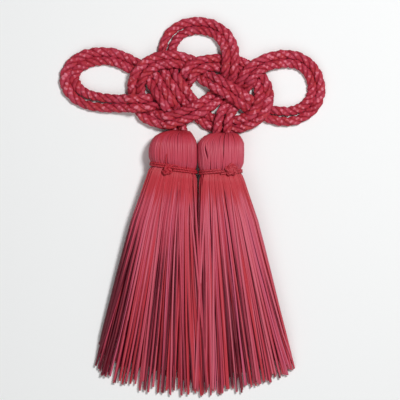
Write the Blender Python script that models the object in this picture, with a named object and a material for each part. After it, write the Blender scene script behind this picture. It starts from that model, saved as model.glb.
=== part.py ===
"""Rush tassel ornament: a three-loop knot of two twisted rush ropes, with two rush tassels tied at the waist.

The ornament lies on its back. +X points to its right, +Y to its top loop and +Z up from the surface.
The origin is on that surface, in the middle of the outline. Sizes and tables are in millimetres.
"""
import math
import random

import bmesh
import bpy
import numpy as np
from mathutils import Vector

MM = 0.001

# Ropes
ROPE_RADIUS = 2.55
ROPE_PITCH = 15.6
RINGS_PER_PITCH = 6
ROPE_SIDES = 6
PLIES = 2
GROOVE_DEPTH = 0.5
ROPE_REST_HEIGHT = ROPE_RADIUS * math.cos(math.pi / ROPE_SIDES)
ROPE_CLEARANCE = 0.36
ROPE_LIFT = 2 * ROPE_RADIUS + ROPE_CLEARANCE

# Route of the rope pair from the left tassel to the right one.
# Columns: x, y, level (0 on the surface, 1 over another pair) and spread (between the two ropes).
NECK_AND_LEFT_LOOP = (
    (-8.8, 46.45, 0.16, 5.5),
    (-9.1, 49.5, 0.06, 5.4),
    (-10.6, 53.4, 0.00, 5.4),
    (-14.1, 60.5, 0.75, 5.4),
    (-16.6, 65.2, 1.00, 5.4),
    (-20.5, 73.3, 0.70, 5.4),
    (-25.3, 79.8, 0.20, 5.4),
    (-31.8, 84.4, 0.00, 5.4),
    (-39.5, 88.1, 0.00, 5.4),
    (-47.0, 91.7, 0.00, 5.4),
    (-55.2, 93.0, 0.00, 5.6),
    (-65.1, 91.8, 0.00, 5.8),
    (-73.5, 87.5, 0.00, 6.0),
    (-77.7, 79.9, 0.00, 6.3),
    (-74.7, 71.5, 0.00, 6.6),
    (-67.5, 66.0, 0.00, 6.7),
    (-57.6, 63.8, 0.10, 6.6),
    (-45.7, 63.2, 0.60, 5.6),
    (-34.6, 63.0, 1.00, 5.4),
    (-25.9, 62.8, 0.50, 5.4),
    (-18.4, 64.6, 0.00, 5.4),
)
CROSSING_TO_THE_RIGHT = (
    (-12.2, 71.1, 0.00, 5.4),
    (-6.4, 78.2, 0.50, 5.4),
    (-1.4, 84.7, 1.00, 5.4),
    (6.7, 87.8, 0.70, 5.4),
    (14.7, 88.3, 0.20, 5.4),
    (23.4, 88.4, 0.00, 5.4),
    (30.8, 86.4, 0.00, 5.4),
    (36.8, 83.0, 0.00, 5.4),
    (42.3, 78.0, 0.30, 5.6),
    (44.7, 70.8, 0.80, 6.3),
    (44.0, 61.8, 1.00, 5.8),
    (39.3, 54.9, 0.60, 5.6),
    (31.8, 51.1, 0.20, 5.7),
    (23.7, 49.7, 0.00, 5.5),
    (17.8, 49.7, 0.00, 5.4),
    (11.3, 51.2, 0.00, 5.4),
    (5.6, 55.1, 0.00, 5.4),
    (1.4, 60.2, 0.00, 5.4),
    (-4.4, 66.7, 0.70, 5.4),
    (-9.6, 74.7, 1.00, 5.4),
    (-13.9, 82.9, 0.40, 5.4),
    (-16.0, 90.3, 0.00, 5.4),
)
TOP_LOOP = (
    (-16.2, 97.9, 0.00, 6.9),
    (-12.9, 105.3, 0.00, 6.6),
    (-6.0, 110.4, 0.00, 5.7),
    (3.0, 112.1, 0.00, 5.5),
    (12.2, 110.4, 0.00, 5.4),
    (20.0, 104.9, 0.10, 5.4),
    (23.4, 97.0, 0.60, 5.4),
    (23.7, 88.4, 1.00, 5.4),
    (22.4, 80.4, 0.50, 5.4),
    (19.4, 72.6, 0.00, 5.4),
    (14.4, 66.7, 0.40, 5.4),
)
CROSSING_TO_THE_LEFT_AND_BACK = (
    (7.3, 61.6, 1.00, 5.4),
    (-1.1, 57.3, 1.00, 5.4),
    (-10.1, 54.0, 1.00, 5.4),
    (-19.0, 53.7, 0.80, 5.4),
    (-26.9, 56.3, 0.40, 5.4),
    (-33.2, 61.9, 0.00, 5.4),
    (-35.5, 68.9, 0.30, 5.4),
    (-35.2, 77.0, 0.70, 5.4),
    (-31.2, 84.1, 1.00, 5.4),
    (-24.0, 89.1, 1.00, 5.4),
    (-16.3, 90.9, 1.00, 5.4),
    (-7.9, 89.5, 0.50, 5.4),
    (-0.6, 85.8, 0.00, 5.4),
    (5.7, 81.5, 0.30, 5.4),
    (12.5, 76.9, 0.80, 5.4),
    (20.4, 72.4, 1.00, 5.4),
    (28.0, 67.2, 1.00, 5.4),
    (35.2, 62.2, 0.50, 5.4),
)
RIGHT_LOOP_AND_NECK = (
    (43.2, 58.1, 0.00, 5.4),
    (51.6, 55.5, 0.00, 6.5),
    (60.3, 54.8, 0.00, 6.9),
    (69.6, 58.1, 0.00, 5.9),
    (76.3, 65.7, 0.00, 5.5),
    (77.4, 75.2, 0.00, 5.4),
    (73.1, 84.9, 0.00, 5.4),
    (64.9, 90.9, 0.00, 5.4),
    (55.6, 91.3, 0.20, 5.4),
    (46.0, 88.9, 0.70, 5.4),
    (37.7, 84.4, 1.00, 5.4),
    (32.2, 77.3, 0.50, 5.4),
    (27.6, 69.8, 0.00, 5.4),
    (22.0, 61.5, 0.40, 5.7),
    (19.4, 54.1, 1.00, 6.2),
    (18.2, 49.0, 1.00, 6.3),
    (18.2, 44.75, 1.00, 6.4),
)
ROUTE = (NECK_AND_LEFT_LOOP + CROSSING_TO_THE_RIGHT + TOP_LOOP
         + CROSSING_TO_THE_LEFT_AND_BACK + RIGHT_LOOP_AND_NECK)

# Settling of the ropes on each other
SAMPLES_PER_ROUTE_POINT = 40
POINTS_PER_RING = 2
SETTLE_ROUNDS = 320
FIRM_ROUNDS = 80
SAME_STRETCH = 9.0
NEIGHBOUR_REACH = 12.0
STIFFNESS = 0.30
HOLD_IN_PLACE = 0.02
DROP = 0.004

# Tassels
COLUMNS = 24
LAYERS = 4
ROUNDNESS = 0.85
RIDGE = 0.35
ROOT_GAP = 0.2
STRAND_FILL = 0.72
UNEVEN_ENDS = 3.5
SIDEWAYS = 0.10
LAYER_SHIFT = 0.22
SEED = 4

# Columns of a head: y, left, right, low, high, lean (y gained for each x) and ridge (0 or 1).
LEFT_HEAD = (
    (46.0, -15.8, -1.8, 0.4, 8.6, 0.00, 0),
    (44.8, -20.0, -0.7, 0.1, 12.6, 0.00, 1),
    (42.9, -23.4, 0.4, 0.0, 16.0, 0.00, 1),
    (40.4, -25.7, 1.6, 0.0, 18.4, 0.00, 1),
    (36.5, -27.2, 2.3, 0.0, 19.5, -0.03, 1),
    (31.0, -27.8, 2.1, 0.0, 19.6, -0.10, 1),
    (26.4, -27.0, 1.7, 0.0, 18.6, -0.16, 1),
    (24.7, -25.8, 0.7, 2.1, 16.6, -0.16, 0),
    (21.5, -25.8, 0.7, 2.1, 16.6, -0.16, 0),
    (19.8, -27.6, 1.6, 0.0, 18.2, -0.16, 1),
    (15.6, -29.8, 2.1, 0.0, 18.0, 0.00, 1),
)
RIGHT_HEAD = (
    (44.3, 11.2, 27.6, 3.4, 12.4, 0.00, 0),
    (43.2, 7.8, 29.2, 1.6, 14.6, 0.00, 1),
    (41.2, 5.4, 30.5, 0.4, 16.8, 0.00, 1),
    (38.6, 3.8, 31.6, 0.0, 18.4, 0.00, 1),
    (34.6, 3.2, 31.6, 0.0, 19.5, 0.02, 1),
    (28.6, 3.5, 31.4, 0.0, 19.6, 0.05, 1),
    (24.0, 4.6, 31.0, 0.0, 18.6, 0.06, 1),
    (22.3, 5.9, 29.4, 2.1, 16.6, 0.06, 0),
    (19.1, 5.9, 29.4, 2.1, 16.6, 0.06, 0),
    (17.4, 5.0, 30.6, 0.0, 18.2, 0.06, 1),
    (13.4, 4.4, 33.0, 0.0, 18.0, 0.00, 1),
)
# Columns of a skirt: y, left, right, low and high.
LEFT_SKIRT = (
    (15.6, -29.8, 2.1, 0.0, 18.0),
    (-9.8, -38.8, 2.4, 0.0, 16.6),
    (-97.9, -63.2, 5.7, 0.0, 10.4),
    (-117.0, -68.6, 6.4, 0.0, 9.6),
)
RIGHT_SKIRT = (
    (13.4, 4.4, 33.0, 0.0, 18.0),
    (-9.8, 3.5, 40.6, 0.0, 16.6),
    (-100.3, 6.1, 63.8, 0.0, 10.4),
    (-117.0, 6.8, 67.6, 0.0, 9.6),
)
SKIRT_BEND = -9.8
# Columns of a hem: share of the width from the left, and y where the strands end.
LEFT_HEM = ((0.0, -97.6), (0.1, -105.8), (0.31, -110.4), (0.57, -115.0), (0.88, -117.0), (1.0, -116.4))
RIGHT_HEM = ((0.0, -116.6), (0.08, -116.8), (0.53, -113.2), (0.66, -110.4), (0.89, -103.6), (1.0, -101.0))

# Ties
STRING_SIZE = 1.3
TIE_WIDTH = 2.6
TIE_GAP = 0.45
KNOT_RISE = 0.5
KNOT_ROUNDING = 2
WAIST_ROWS = (7, 8)
# Columns of a tie's section: place across TIE_WIDTH, and place outwards in STRING_SIZE.
TIE_SECTION = ((-0.5, -0.1), (-0.27, 0.5), (0.0, 0.18), (0.27, 0.5), (0.5, -0.1), (0.0, -0.5))
# Columns of a knot: x, width, length and height. Columns of an end: x, y and height above the head.
LEFT_KNOT = (-15.2, 5.2, 4.6, 3.0)
LEFT_ENDS = (((-16.2, 22.2, 1.2), (-17.0, 19.4, 1.9), (-17.4, 17.4, 1.7)),
             ((-14.2, 22.2, 1.2), (-13.4, 19.4, 1.9), (-13.0, 17.0, 1.7)))
RIGHT_KNOT = (23.6, 6.4, 5.6, 3.2)
RIGHT_ENDS = (((22.0, 20.0, 1.2), (20.6, 17.4, 1.9), (20.2, 15.4, 1.7)),
              ((25.4, 22.0, 1.2), (26.6, 24.6, 2.0), (27.2, 26.6, 1.8)))

# Name, colour (linear RGB), roughness and metallic value
ROPE_FINISH = ("rope_rush", (0.40, 0.035, 0.062), 0.62, 0.0)
TASSEL_FINISH = ("tassel_rush", (0.43, 0.060, 0.100), 0.60, 0.0)
TIE_FINISH = ("tie_string", (0.36, 0.012, 0.024), 0.70, 0.0)


def spline_bends(t, points):
    """Second derivatives of the natural cubic spline through the points."""
    gaps = np.diff(t)
    count = len(t)
    system = np.eye(count)
    right = np.zeros_like(points)
    for i in range(1, count - 1):
        system[i, i - 1:i + 2] = gaps[i - 1], 2 * (gaps[i - 1] + gaps[i]), gaps[i]
        rise = (points[i + 1] - points[i]) / gaps[i]
        right[i] = 6 * (rise - (points[i] - points[i - 1]) / gaps[i - 1])
    return np.linalg.solve(system, right)


def spline_points(t, points, bends, at):
    """Points of the spline at the given parameters."""
    i = np.clip(np.searchsorted(t, at, side="right") - 1, 0, len(t) - 2)
    gap = (t[i + 1] - t[i])[:, None]
    a = (t[i + 1] - at)[:, None] / gap
    b = 1 - a
    bend = (a ** 3 - a) * bends[i] + (b ** 3 - b) * bends[i + 1]
    return a * points[i] + b * points[i + 1] + bend * gap * gap / 6


def arc_lengths(points):
    """Distance along a polyline at each of its points."""
    return np.concatenate(([0.0], np.cumsum(np.linalg.norm(np.diff(points, axis=0), axis=1))))


def rope_centrelines():
    """Centrelines of the two ropes as laid out on the route, before they settle: an array (2, n, 3)."""
    table = np.array(ROUTE)
    plan = table[:, :2]
    t = arc_lengths(plan)
    bends = spline_bends(t, plan)
    fine = np.linspace(0, t[-1], len(table) * SAMPLES_PER_ROUTE_POINT)
    along = arc_lengths(spline_points(t, plan, bends, fine))
    rings = round(along[-1] / ROPE_PITCH * RINGS_PER_PITCH)
    at = np.interp(np.linspace(0, along[-1], rings * POINTS_PER_RING + 1), along, fine)
    middle = spline_points(t, plan, bends, at)
    direction = np.gradient(middle, axis=0)
    direction /= np.linalg.norm(direction, axis=1)[:, None]
    left = np.stack((-direction[:, 1], direction[:, 0]), axis=1)
    height = ROPE_REST_HEIGHT + ROPE_LIFT * np.interp(at, t, table[:, 2])
    spread = np.interp(at, t, table[:, 3])
    ropes = []
    for side in (0.5, -0.5):
        plan_line = middle + left * (side * spread)[:, None]
        ropes.append(np.column_stack((plan_line, height)))
    return np.array(ropes)


def close_pairs(ropes):
    """Index pairs of points that may touch: near each other in plan, and not neighbours on one rope."""
    count = ropes.shape[1]
    points = ropes.reshape(-1, 3)
    step = arc_lengths(ropes[0])[-1] / (count - 1)
    first, second = np.triu_indices(len(points), 1)
    plan_gap = np.hypot(*(points[first, :2] - points[second, :2]).T)
    one_rope = first // count == second // count
    neighbours = one_rope & (np.abs(first - second) * step < SAME_STRETCH)
    keep = (plan_gap < NEIGHBOUR_REACH) & ~neighbours
    return first[keep], second[keep]


def settle(ropes):
    """Part the ropes, as their own thickness does in the knot, until each clears the others."""
    first, second = close_pairs(ropes)
    ends = np.concatenate((first, second))
    home = ropes.reshape(-1, 3)
    points = home.copy()
    need = 2 * ROPE_RADIUS + ROPE_CLEARANCE
    for turn in range(SETTLE_ROUNDS):
        apart = points[first] - points[second]
        distance = np.linalg.norm(apart, axis=1)
        short = np.maximum(need - distance, 0.0)
        half = apart * (short / distance / 2)[:, None]
        order = np.argsort(np.concatenate((short, short)), kind="stable")
        push = np.zeros_like(points)
        push[ends[order]] = np.concatenate((half, -half))[order]
        points += push
        if turn < SETTLE_ROUNDS - FIRM_ROUNDS:
            lines = points.reshape(ropes.shape)
            bend = (lines[:, :-2] + lines[:, 2:]) / 2 - lines[:, 1:-1]
            lines[:, 1:-1] += bend * STIFFNESS
            points[:, :2] += (home[:, :2] - points[:, :2]) * HOLD_IN_PLACE
            points[:, 2] += (ROPE_REST_HEIGHT - points[:, 2]) * DROP
        points[:, 2] = np.maximum(points[:, 2], ROPE_REST_HEIGHT)
        lines = points.reshape(ropes.shape)
        lines[:, 0] = ropes[:, 0]
        lines[:, -1] = ropes[:, -1]
    return points.reshape(ropes.shape)


def new_object(name, mesh_data, finish):
    """Turn a bmesh in millimetres into a named object with its own material."""
    bmesh.ops.recalc_face_normals(mesh_data, faces=mesh_data.faces)
    bmesh.ops.scale(mesh_data, vec=(MM, MM, MM), verts=mesh_data.verts)
    mesh = bpy.data.meshes.new(name)
    mesh_data.to_mesh(mesh)
    mesh_data.free()
    mesh.materials.append(new_material(name, finish))
    created = bpy.data.objects.new(name, mesh)
    bpy.context.scene.collection.objects.link(created)
    return created


def new_material(name, finish):
    """Principled material of a sub-part."""
    label, colour, roughness, metallic = finish
    material = bpy.data.materials.new(name + "_" + label)
    material.use_nodes = True
    shader = material.node_tree.nodes["Principled BSDF"]
    shader.inputs["Base Color"].default_value = (*colour, 1.0)
    shader.inputs["Roughness"].default_value = roughness
    shader.inputs["Metallic"].default_value = metallic
    return material


def join_rings(mesh_data, rings, closed=False):
    """Skin a row of rings with faces, and cap its ends unless it is closed on itself."""
    loops = []
    for ring in rings:
        loops.append([mesh_data.verts.new(point) for point in ring])
    following = loops[1:] + loops[:1] if closed else loops[1:]
    for lower, upper in zip(loops, following):
        for k, corner in enumerate(lower):
            after = (k + 1) % len(lower)
            mesh_data.faces.new((corner, lower[after], upper[after], upper[k]))
    if not closed:
        mesh_data.faces.new(loops[0][::-1])
        mesh_data.faces.new(loops[-1])
    return loops


def ring_frame(along):
    """Level side direction and upright direction of a ring whose line runs along a direction."""
    along = along.normalized()
    side = Vector((-along.y, along.x, 0.0)).normalized()
    return side, along.cross(side)


def rope_rings(line):
    """Rings of a twisted rope: its section has a groove between the plies and turns along the line.

    Both ends are cut square to the tassel heads, which lie below them in plan.
    """
    up_page = Vector((0.0, 1.0, 0.0))
    directions = [Vector(after - before) for before, after in zip(line[:-2], line[2:])]
    directions = [up_page] + directions + [-up_page]
    rings = []
    for i, (centre, direction) in enumerate(zip(line, directions)):
        side, up = ring_frame(direction)
        turn = math.tau * i / RINGS_PER_PITCH
        ring = []
        for k in range(ROPE_SIDES):
            in_groove = k % (ROPE_SIDES // PLIES) == 0
            radius = ROPE_RADIUS - GROOVE_DEPTH if in_groove else ROPE_RADIUS
            angle = turn + math.tau * k / ROPE_SIDES
            ring.append(Vector(centre) + radius * (math.cos(angle) * side + math.sin(angle) * up))
        rings.append(ring)
    return rings


def make_rope(name, line):
    """One rope of the knot, from tassel to tassel."""
    mesh_data = bmesh.new()
    join_rings(mesh_data, rope_rings(line))
    bmesh.ops.triangulate(mesh_data, faces=mesh_data.faces, quad_method="SHORT_EDGE")
    return new_object(name, mesh_data, ROPE_FINISH)


def section_point(row, across, upward):
    """Point of a section, with across and upward from -1 to 1: round on top and flat underneath."""
    y, left, right, low, high = row[:5]
    lean = row[5] if len(row) > 5 else 0.0
    x_offset = (right - left) / 2 * across * math.sqrt(1 - ROUNDNESS * upward ** 2 / 2)
    if upward > 0:
        upward *= math.sqrt(1 - ROUNDNESS * across ** 2 / 2)
    z = (low + high) / 2 + (high - low) / 2 * upward
    return Vector(((left + right) / 2 + x_offset, y + lean * x_offset, z))


def grid_share(index, count):
    """Place of a grid line from -1 to 1."""
    return 2 * index / count - 1


def rim_cells():
    """Grid places round the rim of a section, in order."""
    rim = [(a, 0) for a in range(COLUMNS)]
    rim += [(COLUMNS, b) for b in range(LAYERS)]
    rim += [(a, LAYERS) for a in range(COLUMNS, 0, -1)]
    rim += [(0, b) for b in range(LAYERS, 0, -1)]
    return rim


def head_point(row, a, b):
    """Point of a head's section at a grid place, with the ridges of the bent stems on its rim."""
    point = section_point(row, grid_share(a, COLUMNS), grid_share(b, LAYERS))
    if row[6] and b == LAYERS and 0 < a < COLUMNS:
        point.z += RIDGE * (a % 2)
    return point


def interpolated(table, y):
    """Row of a skirt table at a height y, with the table running downwards."""
    rows = np.array(table)[::-1]
    return (y,) + tuple(float(np.interp(y, rows[:, 0], rows[:, k])) for k in range(1, 5))


def strand_corners(skirt, y, cell, shift):
    """The four corners of a strand's section, shrunk about its middle so that it stands apart."""
    a, b = cell
    row = interpolated(skirt, y)
    corners = []
    for da, db in ((0, 0), (1, 0), (1, 1), (0, 1)):
        across = grid_share(a + da, COLUMNS) + shift
        corners.append(section_point(row, across, grid_share(b + db, LAYERS)))
    middle = sum(corners, Vector()) / 4
    shrunk = []
    for corner in corners:
        point = middle + (corner - middle) * STRAND_FILL
        if b == 0 and corner.z < middle.z:
            point.z = row[3]
        shrunk.append(point)
    return shrunk


def grow_strand(mesh_data, face, corners):
    """Extrude a root face once and move its corners to a section further down."""
    grown = bmesh.ops.extrude_discrete_faces(mesh_data, faces=[face])["faces"][0]
    middle = grown.calc_center_median()
    target = sum(corners, Vector()) / 4
    free = list(corners)
    for vert in grown.verts:
        offset = vert.co - middle
        best = max(free, key=lambda p: (p.x - target.x > 0) == (offset.x > 0)
                   and (p.z - target.z > 0) == (offset.z > 0))
        free.remove(best)
        vert.co = best
    return grown


def make_tassel(name, head, skirt, hem, chance):
    """One tassel: a domed head with a waist, and strands that stand apart from their roots down."""
    mesh_data = bmesh.new()
    rim = rim_cells()
    loops = join_rings(mesh_data, [[head_point(row, a, b) for a, b in rim] for row in head])
    root_cap = [face for face in loops[-1][0].link_faces if len(face.verts) == len(rim)]
    bmesh.ops.delete(mesh_data, geom=root_cap, context="FACES_ONLY")
    grid = dict(zip(rim, loops[-1]))
    for a in range(1, COLUMNS):
        for b in range(1, LAYERS):
            grid[a, b] = mesh_data.verts.new(head_point(head[-1], a, b))
    cells = {}
    for a in range(COLUMNS):
        for b in range(LAYERS):
            corners = (grid[a, b], grid[a + 1, b], grid[a + 1, b + 1], grid[a, b + 1])
            cells[a, b] = mesh_data.faces.new(corners)
    bmesh.ops.recalc_face_normals(mesh_data, faces=mesh_data.faces)
    bmesh.ops.inset_individual(mesh_data, faces=list(cells.values()), thickness=ROOT_GAP)
    shares, ends = zip(*hem)
    for (a, b), face in cells.items():
        share = (a + 0.5) / COLUMNS
        end = float(np.interp(share, shares, ends)) + chance.uniform(0, UNEVEN_ENDS)
        shift = (chance.uniform(-SIDEWAYS, SIDEWAYS) + LAYER_SHIFT * (-1) ** b) / COLUMNS
        bent = grow_strand(mesh_data, face, strand_corners(skirt, SKIRT_BEND, (a, b), shift / 2))
        grow_strand(mesh_data, bent, strand_corners(skirt, end, (a, b), shift))
    return new_object(name, mesh_data, TASSEL_FINISH)


def tie_line(waist):
    """Closed line round a waist, half a string and the gap outside it."""
    offset = TIE_GAP + STRING_SIZE / 2
    y, left, right, low, high, lean, _ = waist
    row = (y, left - offset, right + offset, low - offset, high + offset, lean)
    line = []
    for a, b in rim_cells():
        near_corner = a in (1, COLUMNS - 1)
        if a % 2 == 0 or near_corner:
            line.append(section_point(row, grid_share(a, COLUMNS), grid_share(b, LAYERS)))
    return line


def tie_rings(line, lean):
    """Rings of a string wound twice, side by side, seen as two ridges with a groove between them."""
    axis = Vector((-lean, 1.0, 0.0)).normalized()
    rings = []
    for i, centre in enumerate(line):
        along = (line[(i + 1) % len(line)] - line[i - 1]).normalized()
        outward = along.cross(axis).normalized()
        ring = []
        for across, raised in TIE_SECTION:
            ring.append(centre + axis * (across * TIE_WIDTH) + outward * (raised * STRING_SIZE))
        rings.append(ring)
    return rings


def end_rings(points, base_height):
    """Rings of a free end of string that runs over the head from the knot."""
    line = [Vector((x, y, base_height + lift)) for x, y, lift in points]
    rings = []
    for i, centre in enumerate(line):
        side, up = ring_frame(line[min(i + 1, len(line) - 1)] - line[max(i - 1, 0)])
        ring = []
        for k in range(ROPE_SIDES):
            angle = math.tau * k / ROPE_SIDES
            ring.append(centre + STRING_SIZE / 2 * (math.cos(angle) * side + math.sin(angle) * up))
        rings.append(ring)
    return rings


def unite(target, other):
    """Join another object's solid to the target with a live Boolean modifier, and hide the other object."""
    modifier = target.modifiers.new("join_" + other.name, "BOOLEAN")
    modifier.operation = "UNION"
    modifier.solver = "EXACT"
    modifier.object = other
    other.hide_render = True
    other.display_type = "WIRE"


def make_tie(name, head, knot, ends):
    """A string wound twice round the waist, with its knot in front and two short free ends."""
    upper, lower = (head[i] for i in WAIST_ROWS)
    waist = tuple((a + b) / 2 for a, b in zip(upper, lower))
    lean = waist[5]
    line = tie_line(waist)
    mesh_data = bmesh.new()
    join_rings(mesh_data, tie_rings(line, lean), closed=True)
    tie = new_object(name, mesh_data, TIE_FINISH)
    x, width, length, height = knot
    top = waist[4] + TIE_GAP
    y = waist[0] + lean * (x - (waist[1] + waist[2]) / 2)
    mesh_data = bmesh.new()
    bmesh.ops.create_icosphere(mesh_data, subdivisions=KNOT_ROUNDING, radius=0.5)
    bmesh.ops.scale(mesh_data, vec=(width, length, height), verts=mesh_data.verts)
    bmesh.ops.translate(mesh_data, vec=(x, y, top + STRING_SIZE + KNOT_RISE), verts=mesh_data.verts)
    unite(tie, new_object(name + "_knot_shape", mesh_data, TIE_FINISH))
    for i, points in enumerate(ends):
        mesh_data = bmesh.new()
        join_rings(mesh_data, end_rings(points, top + STRING_SIZE / 2))
        unite(tie, new_object(name + "_end_shape_%d" % i, mesh_data, TIE_FINISH))
    return tie


def build():
    """Make the whole ornament."""
    for old in list(bpy.data.objects):
        bpy.data.objects.remove(old, do_unlink=True)
    lines = settle(rope_centrelines())[:, ::POINTS_PER_RING]
    make_rope("outer_rope", lines[0])
    make_rope("inner_rope", lines[1])
    chance = random.Random(SEED)
    make_tassel("left_tassel", LEFT_HEAD, LEFT_SKIRT, LEFT_HEM, chance)
    make_tassel("right_tassel", RIGHT_HEAD, RIGHT_SKIRT, RIGHT_HEM, chance)
    make_tie("left_tie", LEFT_HEAD, LEFT_KNOT, LEFT_ENDS)
    make_tie("right_tie", RIGHT_HEAD, RIGHT_KNOT, RIGHT_ENDS)


build()
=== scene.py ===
"""Looks of the rush tassel ornament: a flat knot of two twisted rush ropes over two rush tassels.

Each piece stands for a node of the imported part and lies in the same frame. Sizes and tables are in
millimetres, and meshes are written in metres. +X is the ornament's right, +Y its top loop, +Z up.
"""

import logging
import math
from dataclasses import dataclass, field, replace
from enum import Enum

import bpy
import numpy as np
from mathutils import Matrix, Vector

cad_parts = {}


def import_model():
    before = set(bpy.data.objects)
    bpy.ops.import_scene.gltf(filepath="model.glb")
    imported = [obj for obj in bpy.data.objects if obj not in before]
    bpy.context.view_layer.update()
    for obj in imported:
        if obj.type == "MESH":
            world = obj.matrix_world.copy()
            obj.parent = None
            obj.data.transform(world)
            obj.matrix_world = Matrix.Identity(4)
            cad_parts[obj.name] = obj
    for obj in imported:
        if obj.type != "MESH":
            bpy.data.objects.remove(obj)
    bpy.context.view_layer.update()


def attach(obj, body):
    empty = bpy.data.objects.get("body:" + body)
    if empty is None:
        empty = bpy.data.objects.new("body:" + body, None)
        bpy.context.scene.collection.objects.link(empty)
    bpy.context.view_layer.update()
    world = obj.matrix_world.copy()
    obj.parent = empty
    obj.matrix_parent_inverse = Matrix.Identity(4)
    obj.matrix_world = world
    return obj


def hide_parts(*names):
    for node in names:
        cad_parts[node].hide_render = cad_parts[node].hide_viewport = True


LOG = logging.getLogger("rush_ornament")
MM = 0.001

Colour = tuple[float, float, float]
Vector3 = tuple[float, float, float]
Table = tuple[tuple[float, ...], ...]
Grain = tuple[Vector3, float, float]


# Route of the rope pair from the left tassel to the right one
# Columns: x, y, level (0 on the surface, 1 over another pair) and spread (between the two ropes).
NECK_AND_LEFT_LOOP: Table = (
    (-8.8, 46.45, 0.16, 5.5), (-9.1, 49.5, 0.06, 5.4), (-10.6, 53.4, 0.00, 5.4),
    (-14.1, 60.5, 0.75, 5.4), (-16.6, 65.2, 1.00, 5.4), (-20.5, 73.3, 0.70, 5.4),
    (-25.3, 79.8, 0.20, 5.4), (-31.8, 84.4, 0.00, 5.4), (-39.5, 88.1, 0.00, 5.4),
    (-47.0, 91.7, 0.00, 5.4), (-55.2, 93.0, 0.00, 5.6), (-65.1, 91.8, 0.00, 5.8),
    (-73.5, 87.5, 0.00, 6.0), (-77.7, 79.9, 0.00, 6.3), (-74.7, 71.5, 0.00, 6.6),
    (-67.5, 66.0, 0.00, 6.7), (-57.6, 63.8, 0.10, 6.6), (-45.7, 63.2, 0.60, 5.6),
    (-34.6, 63.0, 1.00, 5.4), (-25.9, 62.8, 0.50, 5.4), (-18.4, 64.6, 0.00, 5.4),
)
CROSSING_TO_THE_RIGHT: Table = (
    (-12.2, 71.1, 0.00, 5.4), (-6.4, 78.2, 0.50, 5.4), (-1.4, 84.7, 1.00, 5.4),
    (6.7, 87.8, 0.70, 5.4), (14.7, 88.3, 0.20, 5.4), (23.4, 88.4, 0.00, 5.4),
    (30.8, 86.4, 0.00, 5.4), (36.8, 83.0, 0.00, 5.4), (42.3, 78.0, 0.30, 5.6),
    (44.7, 70.8, 0.80, 6.3), (44.0, 61.8, 1.00, 5.8), (39.3, 54.9, 0.60, 5.6),
    (31.8, 51.1, 0.20, 5.7), (23.7, 49.7, 0.00, 5.5), (17.8, 49.7, 0.00, 5.4),
    (11.3, 51.2, 0.00, 5.4), (5.6, 55.1, 0.00, 5.4), (1.4, 60.2, 0.00, 5.4),
    (-4.4, 66.7, 0.70, 5.4), (-9.6, 74.7, 1.00, 5.4), (-13.9, 82.9, 0.40, 5.4),
    (-16.0, 90.3, 0.00, 5.4),
)
TOP_LOOP: Table = (
    (-16.2, 97.9, 0.00, 6.9), (-12.9, 105.3, 0.00, 6.6), (-6.0, 110.4, 0.00, 5.7),
    (3.0, 112.1, 0.00, 5.5), (12.2, 110.4, 0.00, 5.4), (20.0, 104.9, 0.10, 5.4),
    (23.4, 97.0, 0.60, 5.4), (23.7, 88.4, 1.00, 5.4), (22.4, 80.4, 0.50, 5.4),
    (19.4, 72.6, 0.00, 5.4), (14.4, 66.7, 0.40, 5.4),
)
CROSSING_TO_THE_LEFT_AND_BACK: Table = (
    (7.3, 61.6, 1.00, 5.4), (-1.1, 57.3, 1.00, 5.4), (-10.1, 54.0, 1.00, 5.4),
    (-19.0, 53.7, 0.80, 5.4), (-26.9, 56.3, 0.40, 5.4), (-33.2, 61.9, 0.00, 5.4),
    (-35.5, 68.9, 0.30, 5.4), (-35.2, 77.0, 0.70, 5.4), (-31.2, 84.1, 1.00, 5.4),
    (-24.0, 89.1, 1.00, 5.4), (-16.3, 90.9, 1.00, 5.4), (-7.9, 89.5, 0.50, 5.4),
    (-0.6, 85.8, 0.00, 5.4), (5.7, 81.5, 0.30, 5.4), (12.5, 76.9, 0.80, 5.4),
    (20.4, 72.4, 1.00, 5.4), (28.0, 67.2, 1.00, 5.4), (35.2, 62.2, 0.50, 5.4),
)
RIGHT_LOOP_AND_NECK: Table = (
    (43.2, 58.1, 0.00, 5.4), (51.6, 55.5, 0.00, 6.5), (60.3, 54.8, 0.00, 6.9),
    (69.6, 58.1, 0.00, 5.9), (76.3, 65.7, 0.00, 5.5), (77.4, 75.2, 0.00, 5.4),
    (73.1, 84.9, 0.00, 5.4), (64.9, 90.9, 0.00, 5.4), (55.6, 91.3, 0.20, 5.4),
    (46.0, 88.9, 0.70, 5.4), (37.7, 84.4, 1.00, 5.4), (32.2, 77.3, 0.50, 5.4),
    (27.6, 69.8, 0.00, 5.4), (22.0, 61.5, 0.40, 5.7), (19.4, 54.1, 1.00, 6.2),
    (18.2, 49.0, 1.00, 6.3), (18.2, 44.75, 1.00, 6.4),
)

# Sections of a tassel from its top to its hem
# Columns: y, left, right, low, high and lean (y gained for each x).
LEFT_SECTIONS: Table = (
    (46.0, -15.8, -1.8, 0.4, 8.6, 0.00),
    (44.8, -20.0, -0.7, 0.1, 12.6, 0.00),
    (42.9, -23.4, 0.4, 0.0, 16.0, 0.00),
    (40.4, -25.4, 1.9, 0.0, 18.4, 0.00),
    (36.5, -26.9, 2.8, 0.0, 19.5, -0.03),
    (31.0, -27.5, 2.8, 0.0, 19.6, -0.10),
    (26.4, -27.0, 2.6, 0.0, 18.6, -0.16),
    (24.7, -25.8, 1.7, 1.6, 16.6, -0.16),
    (21.5, -25.8, 1.7, 1.6, 16.6, -0.16),
    (19.8, -27.6, 2.5, 0.0, 18.2, -0.16),
    (15.6, -29.8, 3.0, 0.0, 18.0, 0.00),
    (-9.8, -38.8, 3.3, 0.0, 16.6, 0.00),
    (-97.9, -63.2, 6.6, 0.0, 10.4, 0.00),
    (-117.0, -68.6, 7.2, 0.0, 9.6, 0.00),
)
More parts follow.
